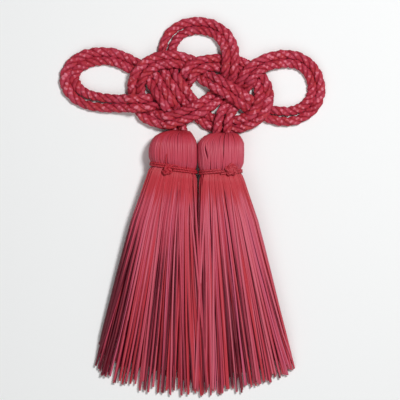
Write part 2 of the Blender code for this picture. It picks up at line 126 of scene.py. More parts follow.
RIGHT_SECTIONS: Table = (
    (44.3, 11.2, 27.6, 3.4, 12.4, 0.00),
    (43.2, 7.8, 29.2, 1.6, 14.6, 0.00),
    (41.2, 5.4, 30.5, 0.4, 16.8, 0.00),
    (38.6, 3.4, 31.8, 0.0, 18.4, 0.00),
    (34.6, 2.9, 31.9, 0.0, 19.5, 0.02),
    (28.6, 2.9, 31.8, 0.0, 19.6, 0.05),
    (24.0, 3.6, 31.4, 0.0, 18.6, 0.06),
    (22.3, 4.8, 29.8, 1.6, 16.6, 0.06),
    (19.1, 4.8, 29.8, 1.6, 16.6, 0.06),
    (17.4, 3.9, 31.2, 0.0, 18.2, 0.06),
    (13.4, 3.4, 33.0, 0.0, 18.0, 0.00),
    (-9.8, 2.9, 40.6, 0.0, 16.6, 0.00),
    (-100.3, 5.4, 63.8, 0.0, 10.4, 0.00),
    (-117.0, 6.1, 67.6, 0.0, 9.6, 0.00),
)
# Columns of a hem: share of the width from the left, and y where the stems end.
LEFT_HEM: Table = (
    (0.0, -97.6), (0.1, -105.8), (0.31, -110.4), (0.57, -115.0), (0.88, -117.0), (1.0, -116.4),
)
RIGHT_HEM: Table = (
    (0.0, -116.6), (0.08, -116.8), (0.53, -113.2), (0.66, -110.4), (0.89, -103.6), (1.0, -101.0),
)


class Dress(Enum):
    """The kinds of dress of the pieces, named after the material slots of the record."""

    ROPE = "rope_rush"
    TASSEL = "tassel_rush"
    TIE = "tie_string"


class FrameKind(Enum):
    """How the sides of a cord's rings are found along its line."""

    LEVEL = "level"
    CARRIED = "carried"


class FinishBench:
    """Builds the nodes of one material."""

    def __init__(self, name: str) -> None:
        """Starts a material with its Principled shader.

        Args:
            name: The material's name.
        """
        self.material = bpy.data.materials.new(name)
        self.material.use_nodes = True
        self.tree = self.material.node_tree
        self.shader = self.tree.nodes["Principled BSDF"]

    def node(self, kind: str, settings: dict | None = None, sockets: dict | None = None) -> bpy.types.Node:
        """Adds a node, sets it, and then feeds its sockets.

        Args:
            kind: The node's type.
            settings: Its settings by name.
            sockets: Values or links of its inputs, by name or number.

        Returns:
            The new node.
        """
        made = self.tree.nodes.new(kind)
        for key, value in (settings or {}).items():
            setattr(made, key, value)
        for key, value in (sockets or {}).items():
            self.feed(made.inputs[key], value)
        return made

    def feed(self, socket: bpy.types.NodeSocket, value: object) -> None:
        """Links a socket or sets its own value.

        Args:
            socket: The input to feed.
            value: A Level, an output socket, a colour, a vector or a number.
        """
        if isinstance(value, Level):
            value = value.socket
        if isinstance(value, bpy.types.NodeSocket):
            self.tree.links.new(value, socket)
        elif socket.type == "RGBA":
            socket.default_value = (*value, 1.0)
        else:
            socket.default_value = value

    def level(self, name: str) -> "Level":
        """The number that a piece's own attribute gives."""
        return Level(self, self.node("ShaderNodeAttribute", {"attribute_name": name}).outputs["Fac"])

    def grain(self, stretch: Vector3, scale: float, detail: float) -> "Level":
        """Soft noise of about 0 to 1, read at a piece's own grain attribute.

        Args:
            stretch: What the attribute is multiplied by.
            scale: How many features there are for each unit.
            detail: How many finer layers it has.

        Returns:
            The noise.
        """
        place = self.node("ShaderNodeAttribute", {"attribute_name": "grain"}).outputs["Vector"]
        stretched = self.node("ShaderNodeVectorMath", {"operation": "MULTIPLY"}, {0: place, 1: stretch})
        sockets = {"Vector": stretched.outputs[0], "Scale": scale, "Detail": detail}
        return Level(self, self.node("ShaderNodeTexNoise", sockets=sockets).outputs["Fac"])

    def mixed(self, share: object, first: object, second: object) -> bpy.types.NodeSocket:
        """A colour between two others.

        Args:
            share: 0 for the first colour and 1 for the second.
            first: A colour or a colour output.
            second: A colour or a colour output.

        Returns:
            The mixed colour.
        """
        settings = {"data_type": "RGBA", "clamp_factor": True}
        return self.node("ShaderNodeMix", settings, {0: share, 6: first, 7: second}).outputs[2]

    def finished(self, colour: bpy.types.NodeSocket, roughness: "Level", height: "Level", depth: float,
                 strength: float) -> bpy.types.Material:
        """Feeds the shader.

        Args:
            colour: The colour.
            roughness: The roughness.
            height: The height of its grain, of about 0 to 1.
            depth: How deep that range is, in metres.
            strength: How much of it shows.

        Returns:
            The material.
        """
        sockets = {"Height": height, "Distance": depth, "Strength": strength}
        normal = self.node("ShaderNodeBump", sockets=sockets).outputs["Normal"]
        for name, value in (("Base Color", colour), ("Roughness", roughness), ("Normal", normal)):
            self.feed(self.shader.inputs[name], value)
        return self.material


class Level:
    """A number that changes over a surface. Arithmetic on it adds Math nodes."""

    def __init__(self, bench: FinishBench, socket: bpy.types.NodeSocket) -> None:
        """Wraps a value output.

        Args:
            bench: The bench that its nodes are added with.
            socket: The output.
        """
        self.bench = bench
        self.socket = socket

    def _made(self, kind: str, settings: dict, *values: object) -> "Level":
        """The output of a new node over some values."""
        return Level(self.bench, self.bench.node(kind, settings, dict(enumerate(values))).outputs[0])

    def _math(self, operation: str, *values: object) -> "Level":
        """A Math node over some values."""
        return self._made("ShaderNodeMath", {"operation": operation}, *values)

    def __add__(self, other: object) -> "Level":
        """This level and another added."""
        return self._math("ADD", self, other)

    __radd__ = __add__

    def __sub__(self, other: object) -> "Level":
        """This level less another."""
        return self._math("SUBTRACT", self, other)

    def __rsub__(self, other: object) -> "Level":
        """A number less this level."""
        return self._math("SUBTRACT", other, self)

    def __mul__(self, other: object) -> "Level":
        """This level times another."""
        return self._math("MULTIPLY", self, other)

    __rmul__ = __mul__

    def swing(self, share: float) -> "Level":
        """A share of how far this level is from its middle."""
        return (self - 0.5) * share

    def ramp(self, low: float, high: float) -> "Level":
        """This level stretched so that low gives 0 and high gives 1, with both ends held and rounded."""
        return self._made("ShaderNodeMapRange", {"interpolation_type": "SMOOTHSTEP"}, self, low, high)


@dataclass(frozen=True)
class RopeFinish:
    """Twisted dyed rush: painted shade between its plies, unevenly dyed, paler on its crests partly from wear
    and partly as painted highlight, and with a painted highlight on top of each crest.
    """

    groove_shade: Colour = (0.300, 0.014, 0.032)
    body: Colour = (0.430, 0.022, 0.046)
    crest: Colour = (0.510, 0.046, 0.084)
    orange: Colour = (0.470, 0.038, 0.042)
    mauve: Colour = (0.510, 0.064, 0.116)
    deep: Colour = (0.270, 0.010, 0.026)
    painted_highlight: Colour = (0.740, 0.210, 0.280)
    fibre_grain: Grain = ((1.0, 1.0, 0.30), 1.1, 3.0)
    patch_grain: Grain = ((0.50, 0.50, 0.42), 1.0, 2.0)
    dye_grain: Grain = ((0.14, 0.14, 0.11), 1.0, 2.0)
    age_grain: Grain = ((0.19, 0.19, 0.15), 1.0, 2.0)
    dye_edges: tuple[float, float] = (0.50, 0.66)
    roughness: float = 0.58
    sheen_change: float = 0.24
    grain_depth: float = 0.00050
    shine: float = 0.26
    softness: float = 0.15
    softness_depth: float = 0.0010

    def material(self) -> bpy.types.Material:
        """The finish as a material.

        Returns:
            The material.
        """
        bench = FinishBench("dyed_rush_rope")
        crest = bench.level("crest")
        grains = (self.fibre_grain, self.patch_grain, self.dye_grain, self.age_grain)
        fibres, patches, dyeing, ageing = (bench.grain(*grain) for grain in grains)
        # Painted shade: the rope is darker in the grooves between its plies and lighter away from them.
        raised = (crest + fibres.swing(0.9) + patches.swing(0.5)).ramp(-0.05, 0.55)
        # Paler crests: partly wear, partly painted highlight.
        wear_and_highlight = (crest * 0.6 + patches.swing(1.1) + fibres.swing(1.0)).ramp(0.20, 0.85)
        aged = (ageing + fibres.swing(0.4)).ramp(0.54, 0.72) * 0.60
        # Painted highlight: pale spots where the crests face up.
        topmost = bench.level("top") * crest
        painted_highlight_share = (topmost + patches.swing(0.9) + fibres.swing(0.6)).ramp(0.70, 1.00) * 0.75
        colour = bench.mixed(raised, self.groove_shade, self.body)
        for share, other in ((wear_and_highlight, self.crest), (dyeing.ramp(*self.dye_edges) * 0.60, self.orange),
                             ((1 - dyeing).ramp(*self.dye_edges) * 0.50, self.mauve), (aged, self.deep),
                             (painted_highlight_share, self.painted_highlight)):
            colour = bench.mixed(share, colour, other)
        bench.shader.inputs["Specular IOR Level"].default_value = self.shine
        bench.shader.inputs["Subsurface Weight"].default_value = self.softness
        bench.shader.inputs["Subsurface Scale"].default_value = self.softness_depth
        roughness = fibres.swing(self.sheen_change) + self.roughness
        return bench.finished(colour, roughness, fibres + patches * 0.6, self.grain_depth, 0.9)


@dataclass(frozen=True)
class StemFinish:
    """Straight dyed rush stems: each stem its own shade, streaked along its length. The shade level also
    carries painted shade and painted light.
    """

    deep: Colour = (0.128, 0.005, 0.018)
    body: Colour = (0.510, 0.050, 0.088)
    pale: Colour = (0.625, 0.118, 0.172)
    red: Colour = (0.510, 0.026, 0.040)
    cool: Colour = (0.530, 0.072, 0.165)
    pith: Colour = (0.640, 0.190, 0.210)
    streak_grain: Grain = ((1.0, 1.0, 0.035), 2.4, 3.0)
    patch_grain: Grain = ((0.2, 0.2, 0.05), 1.0, 2.0)
    roughness: float = 0.46
    sheen_change: float = 0.14
    grain_depth: float = 0.00008
    shine: float = 0.40

    def material(self) -> bpy.types.Material:
        """The finish as a material.

        Returns:
            The material.
        """
        bench = FinishBench("dyed_rush_stems")
        shade, warmth, tip, glow = (bench.level(name) for name in ("shade", "warmth", "tip", "glow"))
        streaks = bench.grain(*self.streak_grain)
        patches = bench.grain(*self.patch_grain)
        tone = shade * 0.7 + streaks * 0.5 + patches * 0.3 - 0.25
        reddened = (warmth + patches.swing(0.8)).ramp(0.45, 1.05) * 0.85
        cooled = (0.15 - warmth).ramp(0.0, 0.5) * tone.ramp(0.2, 0.7) * 0.6
        colour = bench.mixed(tone.ramp(0.0, 0.55), self.deep, self.body)
        for share, other in (((tone + glow * 0.04).ramp(0.45, 1.10), self.pale), (reddened, self.red),
                             (cooled, self.cool), (tip * 0.5, self.pith)):
            colour = bench.mixed(share, colour, other)
        bench.shader.inputs["Specular IOR Level"].default_value = self.shine
        roughness = streaks.swing(self.sheen_change) + self.roughness
        return bench.finished(colour, roughness, streaks, self.grain_depth, 0.7)


@dataclass(frozen=True)
class StringFinish:
    """Bright red twisted string, matt, with painted shade in its grooves and crests paler partly from wear
    and partly as painted highlight.
    """

    groove_shade: Colour = (0.310, 0.008, 0.018)
    body: Colour = (0.470, 0.013, 0.030)
    crest: Colour = (0.600, 0.040, 0.062)
    fibre_grain: Grain = ((1.0, 1.0, 0.25), 6.0, 3.0)
    roughness: float = 0.62
    sheen_change: float = 0.14
    grain_depth: float = 0.00006

    def material(self) -> bpy.types.Material:
        """The finish as a material.

        Returns:
            The material.
        """
        bench = FinishBench("red_twisted_string")
        crest = bench.level("crest")
        fibres = bench.grain(*self.fibre_grain)
        # Painted shade in the grooves, and paler crests: partly wear, partly painted highlight.
        colour = bench.mixed(crest.ramp(0.0, 0.5), self.groove_shade, self.body)
        colour = bench.mixed((crest + fibres - 0.5).ramp(0.6, 1.3), colour, self.crest)
        roughness = fibres.swing(self.sheen_change) + self.roughness
        return bench.finished(colour, roughness, fibres, self.grain_depth, 0.8)


def arc_lengths(points: np.ndarray) -> np.ndarray:
    """Distance along a polyline at each of its points, from 0."""
    return np.concatenate(([0.0], np.cumsum(np.linalg.norm(np.diff(points, axis=0), axis=1))))


def directions(points: np.ndarray) -> np.ndarray:
    """Unit directions of a polyline at its points."""
    along = np.gradient(points, axis=0)
    return along / np.linalg.norm(along, axis=1)[:, None]


def rising(value: np.ndarray, start: float, end: float) -> np.ndarray:
    """How far a value is from a start towards an end, held between 0 and 1."""
    return np.clip((value - start) / (end - start), 0, 1)


def on_square(turn: np.ndarray) -> tuple[np.ndarray, np.ndarray]:
    """Places round the rim of a square that reaches from -1 to 1, at some angles about its middle."""
    reach = np.maximum(np.abs(np.cos(turn)), np.abs(np.sin(turn)))
    return np.cos(turn) / reach, np.sin(turn) / reach


class Spline:
    """A natural cubic spline through points."""

    def __init__(self, at: np.ndarray, points: np.ndarray) -> None:
        """Solves the spline.

        Args:
            at: The parameter of each point, rising.
            points: The points, one in each row.
        """
        self.at = at
        self.points = points
        gaps = np.diff(at)
        system = np.eye(len(at))
        right = np.zeros_like(points)
        for i in range(1, len(at) - 1):
            system[i, i - 1:i + 2] = gaps[i - 1], 2 * (gaps[i - 1] + gaps[i]), gaps[i]
            rise = (points[i + 1] - points[i]) / gaps[i]
            right[i] = 6 * (rise - (points[i] - points[i - 1]) / gaps[i - 1])
        self.bends = np.linalg.solve(system, right)

    def read(self, at: np.ndarray) -> np.ndarray:
        """Points of the spline.

        Args:
            at: The parameters to read it at.

        Returns:
            The points, one in each row.
        """
        i = np.clip(np.searchsorted(self.at, at, side="right") - 1, 0, len(self.at) - 2)
        gap = (self.at[i + 1] - self.at[i])[:, None]
        a = (self.at[i + 1] - at)[:, None] / gap
        b = 1 - a
        bend = (a ** 3 - a) * self.bends[i] + (b ** 3 - b) * self.bends[i + 1]
        return a * self.points[i] + b * self.points[i + 1] + bend * gap * gap / 6


@dataclass(frozen=True)
class KnotRoute:
    """The course of the two ropes through the knot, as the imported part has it."""

    route: Table
    rope_radius: float = 2.55
    pitch: float = 15.6
    rope_sides: int = 6
    clearance: float = 0.36
    rings_per_pitch: int = 6
    points_per_ring: int = 2
    samples_per_route_point: int = 40
    rounds: int = 320
    firm_rounds: int = 80
    same_stretch: float = 9.0
    neighbour_reach: float = 12.0
    stiffness: float = 0.30
    hold_in_place: float = 0.02
    drop: float = 0.004

    @property
    def apart(self) -> float:
        """The least distance between two centrelines."""
        return 2 * self.rope_radius + self.clearance

    @property
    def rest_height(self) -> float:
        """The height of a centreline on the surface."""
        return self.rope_radius * math.cos(math.pi / self.rope_sides)

    @property
    def points_per_pitch(self) -> int:
        """How many points of a centreline one turn of the twist takes."""
        return self.rings_per_pitch * self.points_per_ring

    def laid_out(self) -> np.ndarray:
        """Centrelines as laid out on the route, before they settle.

        Returns:
            An array of two lines, each with one point in each row.
        """
        table = np.array(self.route)
        plan = table[:, :2]
        t = arc_lengths(plan)
        spline = Spline(t, plan)
        fine = np.linspace(0, t[-1], len(table) * self.samples_per_route_point)
        along = arc_lengths(spline.read(fine))
        rings = round(along[-1] / self.pitch * self.rings_per_pitch)
        at = np.interp(np.linspace(0, along[-1], rings * self.points_per_ring + 1), along, fine)
        middle = spline.read(at)
        direction = directions(middle)
        left = np.stack((-direction[:, 1], direction[:, 0]), axis=1)
        height = self.rest_height + self.apart * np.interp(at, t, table[:, 2])
        spread = np.interp(at, t, table[:, 3])
        ropes = []
        for side in (0.5, -0.5):
            ropes.append(np.column_stack((middle + left * (side * spread)[:, None], height)))
        return np.array(ropes)

    def close_pairs(self, ropes: np.ndarray) -> tuple[np.ndarray, np.ndarray]:
        """Pairs of points that may touch: near each other in plan, and not neighbours on one rope.

        Args:
            ropes: The two lines.

        Returns:
            The numbers of the first and of the second points.
        """
        count = ropes.shape[1]
        points = ropes.reshape(-1, 3)
        step = arc_lengths(ropes[0])[-1] / (count - 1)
        first, second = np.triu_indices(len(points), 1)
        plan_gap = np.hypot(*(points[first, :2] - points[second, :2]).T)
        one_rope = first // count == second // count
        neighbours = one_rope & (np.abs(first - second) * step < self.same_stretch)
        keep = (plan_gap < self.neighbour_reach) & ~neighbours
        return first[keep], second[keep]

    def settled(self) -> np.ndarray:
        """Centrelines once the ropes have parted, as their own thickness does in the knot.

        Returns:
            An array of two lines, each with one point in each row.
        """
        ropes = self.laid_out()
        first, second = self.close_pairs(ropes)
        ends = np.concatenate((first, second))
        home = ropes.reshape(-1, 3)
        points = home.copy()
        for turn in range(self.rounds):
            gap = points[first] - points[second]
            distance = np.linalg.norm(gap, axis=1)
            short = np.maximum(self.apart - distance, 0.0)
            half = gap * (short / distance / 2)[:, None]
            order = np.argsort(np.concatenate((short, short)), kind="stable")
            push = np.zeros_like(points)
            push[ends[order]] = np.concatenate((half, -half))[order]
            points += push
            if turn < self.rounds - self.firm_rounds:
                lines = points.reshape(ropes.shape)
                bend = (lines[:, :-2] + lines[:, 2:]) / 2 - lines[:, 1:-1]
                lines[:, 1:-1] += bend * self.stiffness
                points[:, :2] += (home[:, :2] - points[:, :2]) * self.hold_in_place
                points[:, 2] += (self.rest_height - points[:, 2]) * self.drop
            points[:, 2] = np.maximum(points[:, 2], self.rest_height)
            lines = points.reshape(ropes.shape)
            lines[:, 0] = ropes[:, 0]
            lines[:, -1] = ropes[:, -1]
        return points.reshape(ropes.shape)


class PieceMesh:
    """Points, faces and attributes of one piece, gathered part by part."""

    def __init__(self, name: str) -> None:
        """Starts an empty piece.

        Args:
            name: The piece's name.
        """
        self.name = name
        self.points: list[np.ndarray] = []
        self.faces: list[list[int]] = []
        self.levels: dict[str, list[np.ndarray]] = {}
        self.count = 0

    def add(self, points: np.ndarray, faces: list[list[int]], levels: dict[str, object]) -> None:
        """Adds a part.

        Args:
            points: Its points in millimetres, one in each row.
            faces: The point numbers of each face, from 0.
            levels: Its attributes by name: a number for all points, or a number or vector for each.
        """
        self.points.append(points)
        self.faces.extend([[corner + self.count for corner in face] for face in faces])
        for name, values in levels.items():
            values = np.full(len(points), values) if isinstance(values, float) else values
            self.levels.setdefault(name, []).append(values)
        self.count += len(points)

    def finished(self, node: str, dress: Dress, material: bpy.types.Material) -> None:
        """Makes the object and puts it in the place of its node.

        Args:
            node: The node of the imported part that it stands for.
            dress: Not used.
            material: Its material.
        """
        mesh = bpy.data.meshes.new(self.name)
        mesh.from_pydata((np.concatenate(self.points) * MM).tolist(), [], self.faces)
        for name, parts in self.levels.items():
            values = np.concatenate(parts).astype(np.float32)
            kind, key = ("FLOAT", "value") if values.ndim == 1 else ("FLOAT_VECTOR", "vector")
            mesh.attributes.new(name, kind, "POINT").data.foreach_set(key, values.ravel())
        mesh.materials.append(material)
        piece = bpy.data.objects.new(self.name, mesh)
        bpy.context.scene.collection.objects.link(piece)
        bpy.ops.object.select_all(action="DESELECT")
        piece.select_set(True)
        bpy.context.view_layer.objects.active = piece
        bpy.ops.object.mode_set(mode="EDIT")
        bpy.ops.mesh.select_all(action="SELECT")
        bpy.ops.mesh.normals_make_consistent(inside=False)
        bpy.ops.object.mode_set(mode="OBJECT")
        bpy.ops.object.shade_smooth()
        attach(piece, "root")
        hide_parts(node)
        LOG.info("%s: %d faces in place of %s", self.name, len(mesh.polygons), node)


def tube_faces(rings: int, sides: int) -> list[list[int]]:
    """Faces of a closed tube whose points are numbered ring by ring.

    Args:
        rings: How many rings it has.
        sides: How many points each ring has.

    Returns:
        The faces, with a cap at each end.
    """
    last = (rings - 1) * sides
    faces = []
    for low in range(0, last, sides):
        for k in range(sides):
            after = (k + 1) % sides
            faces.append([low + k, low + after, low + sides + after, low + sides + k])
    faces.append(list(range(sides))[::-1])
    faces.append(list(range(last, last + sides)))
    return faces


@dataclass(frozen=True)
class CordMake:
    """How a cord is laid: plies twisted together, with strands showing on each.

    A ply's section is an oval that lies off the cord's middle. Its half-sizes are out from the
    middle and round it.
    """

    ply_offset: float
    ply_reach: float
    ply_breadth: float
    pitch: float
    ply_sides: int
    strands: int
    strand_pitch: float
    step: float
    plies: int
    unevenness: float
    uneven_waves: tuple[float, ...]
    strand_ridge: float = 0.04
    widened: float = 1.0
    floor_gap: float = 0.03
    groove_reach: float = 0.72
    strand_shade: float = 0.14
    roughness: float = 0.0
    rough_waves: tuple[float, ...] = (2.3, 3.1, 4.7)
    wave_change: tuple[float, float] = (0.8, 1.25)
    first_side: Vector3 = (0.3, 0.4, 0.86)
    ply_grain: float = 900.0
    cord_grain: float = 70.0

    @property
    def half(self) -> float:
        """Half the cord's thickness."""
        return self.ply_offset + self.ply_reach

    def frames(self, line: np.ndarray, kind: FrameKind) -> tuple[np.ndarray, np.ndarray]:
        """Side and up directions of the rings.

        Args:
            line: The cord's centreline.
            kind: How the sides are found.

        Returns:
            The sides and the ups, one in each row.
        """
        along = directions(line)
        if kind is FrameKind.LEVEL:
            side = np.column_stack((-along[:, 1], along[:, 0], np.zeros(len(along))))
            side /= np.linalg.norm(side, axis=1)[:, None]
            return side, np.cross(along, side)
        side = np.zeros_like(along)
        first = np.cross(along[0], self.first_side)
        side[0] = first / np.linalg.norm(first)
        for i in range(1, len(along)):
            carried = side[i - 1] - along[i] * (side[i - 1] @ along[i])
            side[i] = carried / np.linalg.norm(carried)
        return side, np.cross(along, side)

    def rough(self, chance: np.random.Generator, corner: np.ndarray, distance: np.ndarray) -> np.ndarray:
        """Small lumps on a ply.

        Args:
            chance: The source of its unevenness.
            corner: The angles of a ring's points.
            distance: The distances of the rings.

        Returns:
            The change of the ply's size, a row for each ring.
        """
        lumps = np.zeros((len(distance), len(corner)))
        for wave in self.rough_waves:
            for around in (1, 2, 3):
                phase = chance.uniform(0, math.tau, 2)
                far = distance * math.tau / wave / chance.uniform(*self.wave_change) + phase[0]
                lumps += np.sin(far)[:, None] * np.sin(corner * around + phase[1])[None, :]
        return self.roughness * lumps / len(self.rough_waves)

    def lay(self, mesh: PieceMesh, line: np.ndarray, turns: np.ndarray, kind: FrameKind, seed: int,
            fuller: float | np.ndarray = 1.0) -> None:
        """Adds a cord to a piece.

        Args:
            mesh: The piece.
            line: The cord's centreline, a point for each ring.
            turns: How far the twist has turned at each ring, in turns.
            kind: How the sides of its rings are found.
            seed: What makes its unevenness differ from that of other cords.
            fuller: How much broader it is at each ring.
        """
        chance = np.random.default_rng(seed)
        broader = np.broadcast_to(self.widened * fuller, len(line))[:, None]
        side, up = self.frames(line, kind)
        distance = arc_lengths(line)
        corner = math.tau * np.arange(self.ply_sides) / self.ply_sides
        for ply in range(self.plies):
            swell = np.ones(len(line))
            for wave in self.uneven_waves:
                phase = chance.uniform(0, math.tau)
                swell += self.unevenness / 2 * np.sin(distance * math.tau / wave + phase)
            strand = np.cos(corner * self.strands + chance.uniform(0, math.tau))[None, :]
            turned = corner[None, :] - (math.tau * (turns + distance / self.strand_pitch))[:, None]
            ridge = 1 + self.strand_ridge * strand + self.rough(chance, corner, distance)
            across = self.ply_offset + self.ply_reach * np.cos(turned) * ridge * swell[:, None]
            level = self.ply_breadth * np.sin(turned) * ridge * swell[:, None]
            angle = math.tau * (turns + ply / self.plies + 0.25)
            cosine, sine = np.cos(angle)[:, None], np.sin(angle)[:, None]
            sideways = (across * cosine - level * sine) * broader
            upwards = (across * sine + level * cosine) / math.sqrt(self.widened)
            points = line[:, None, :] + sideways[:, :, None] * side[:, None, :]
            points = (points + upwards[:, :, None] * up[:, None, :]).reshape(-1, 3)
            points[:, 2] = np.maximum(points[:, 2], self.floor_gap)
            # The crest and top levels steer the finishes' painted shade in the grooves and painted highlights
            # on top of the crests.
            crest = rising(np.hypot(across, level) / self.half, self.groove_reach, 1.0)
            crest = crest * (1 - self.strand_shade + self.strand_shade * strand)
            top = np.clip(upwards / self.half, 0, 1)
            far = distance[:, None] + self.ply_grain * ply + self.cord_grain * seed
            around = self.ply_reach * np.cos(turned), self.ply_reach * np.sin(turned)
            grain = np.stack((*around, np.broadcast_to(far, top.shape)), axis=2)
            levels = {"crest": crest.ravel(), "top": top.ravel(), "grain": grain.reshape(-1, 3)}
            mesh.add(points, tube_faces(len(line), self.ply_sides), levels)


@dataclass
class KnotRopes:
    """The two rush ropes of the knot. Columns of the full places: x, y, reach and share."""

    route: KnotRoute
    make: CordMake
    finish: RopeFinish
    pieces: tuple[tuple[str, str, int], ...] = (("rush_rope_outer", "outer_rope", 3),
                                                ("rush_rope_inner", "inner_rope", 8))
    tuck: float = 3.0
    full_places: Table = (
        (-76.0, 78.0, 12.0, 0.17), (45.0, 68.5, 9.0, 0.15), (72.0, 60.0, 8.0, 0.10),
        (-65.0, 91.5, 8.0, 0.12), (36.0, 70.5, 5.0, 0.22), (30.0, 58.5, 5.0, 0.22),
        (-28.0, 71.5, 5.0, 0.12),
    )

    def build(self) -> None:
        """Makes both ropes, led straight on into the tassel heads, and dresses them."""
        material = self.finish.material()
        for (name, node, seed), line in zip(self.pieces, self.route.settled()):
            mesh = PieceMesh(name)
            at = np.arange(len(line), dtype=float)
            along = arc_lengths(line)
            rings = round(along[-1] / self.make.step)
            distance = np.linspace(-self.tuck, along[-1] + self.tuck, rings)
            places = np.interp(distance, along, at)
            smooth = Spline(at, line).read(places)
            smooth[:, 1] -= np.maximum(-distance, 0.0) + np.maximum(distance - along[-1], 0.0)
            turns = places / self.route.points_per_pitch
            self.make.lay(mesh, smooth, turns, FrameKind.LEVEL, seed, self.fullness(smooth))
            mesh.finished(node, Dress.ROPE, material)

    def fullness(self, line: np.ndarray) -> np.ndarray:
        """How much broader a rope is where it is loosely twisted.

        Args:
            line: The rope's centreline.

        Returns:
            The factor at each of its points.
        """
        fuller = np.ones(len(line))
        for x, y, reach, share in self.full_places:
            fuller += share * np.exp(-((line[:, 0] - x) ** 2 + (line[:, 1] - y) ** 2) / reach ** 2)
        return fuller


@dataclass(frozen=True)
class StemDye:
    """How a tassel's stems are coloured along their length: their dye, with painted light and painted shade
    mixed in. Heights are counted from its waist.

    Each pair of heights is where something starts to show and where it shows in full.
    """

    brightness: float
    warm: float
    darkening: float
    dark_edge: float = 0.0
    edge_painted_light: float = 0.45
    edge_darkening: float = 1.45
    length: float = 135.0
    glow_above: tuple[float, float] = (0.0, 4.0)
    glow_under: tuple[float, float] = (21.0, 16.0)
    tied_above: tuple[float, float] = (-26.0, -6.0)
    tied_under: tuple[float, float] = (1.0, -1.0)
    crown_above: tuple[float, float] = (16.0, 21.0)
    fan_speed: float = 2.2
    head_contrast: float = 0.30
    fan_contrast: float = 1.55
    tied_contrast: float = 0.75
    head_shade: float = 0.42
    fan_drop: float = 0.66
    tied_drop: float = 0.5325
    middle_lift: float = 0.26
    middle_speed: float = 1.7
    head_redness: float = 0.35
    tied_warmth: float = 1.35
    crown_warmth: float = 0.75
    glow_warmth: float = 0.40

    def levels(self, above: np.ndarray, shade: float, warmth: float, edge: float) -> dict[str, np.ndarray]:
        """The shade, warmth and glow of a stem.

        Args:
            above: The heights of its points.
            shade: How pale the stem is, from about 0 to 1.
            warmth: How red it is, from about 0 to 1.
            edge: How near the dark edge of the skirt it ends, from 0 to 1.

        Returns:
            The attributes by name.
        """
        glow = rising(above, *self.glow_above) * rising(above, *self.glow_under)
        tied = rising(above, *self.tied_above) * rising(above, *self.tied_under)
        gone = rising(above, 0.0, -self.length)
        fanned = np.minimum(gone * self.fan_speed, 1)
        shades = shade * (self.head_contrast + self.fan_contrast * fanned + self.tied_contrast * tied)
        shades += self.brightness + self.head_shade - self.fan_drop * fanned - self.tied_drop * tied
        shades += self.middle_lift * np.sin(np.minimum(gone * self.middle_speed, 1) * math.pi)
        shades -= self.darkening * gone ** 2
        # Near the skirt's left edge: painted light just under the tie, where the side stems face away from
        # the light, and lower down a darker edge, partly the stems' own darker colour and partly painted
        # shade.
        pale = self.edge_painted_light * (1 - fanned) * (gone > 0)
        shades += edge * (pale - self.dark_edge * self.edge_darkening * gone)
        warmths = warmth * (self.head_redness + (1 - self.head_redness) * fanned) + self.warm
        warmths += self.tied_warmth * tied + self.crown_warmth * rising(above, *self.crown_above)
        return {"shade": shades, "warmth": warmths + self.glow_warmth * glow, "glow": glow}


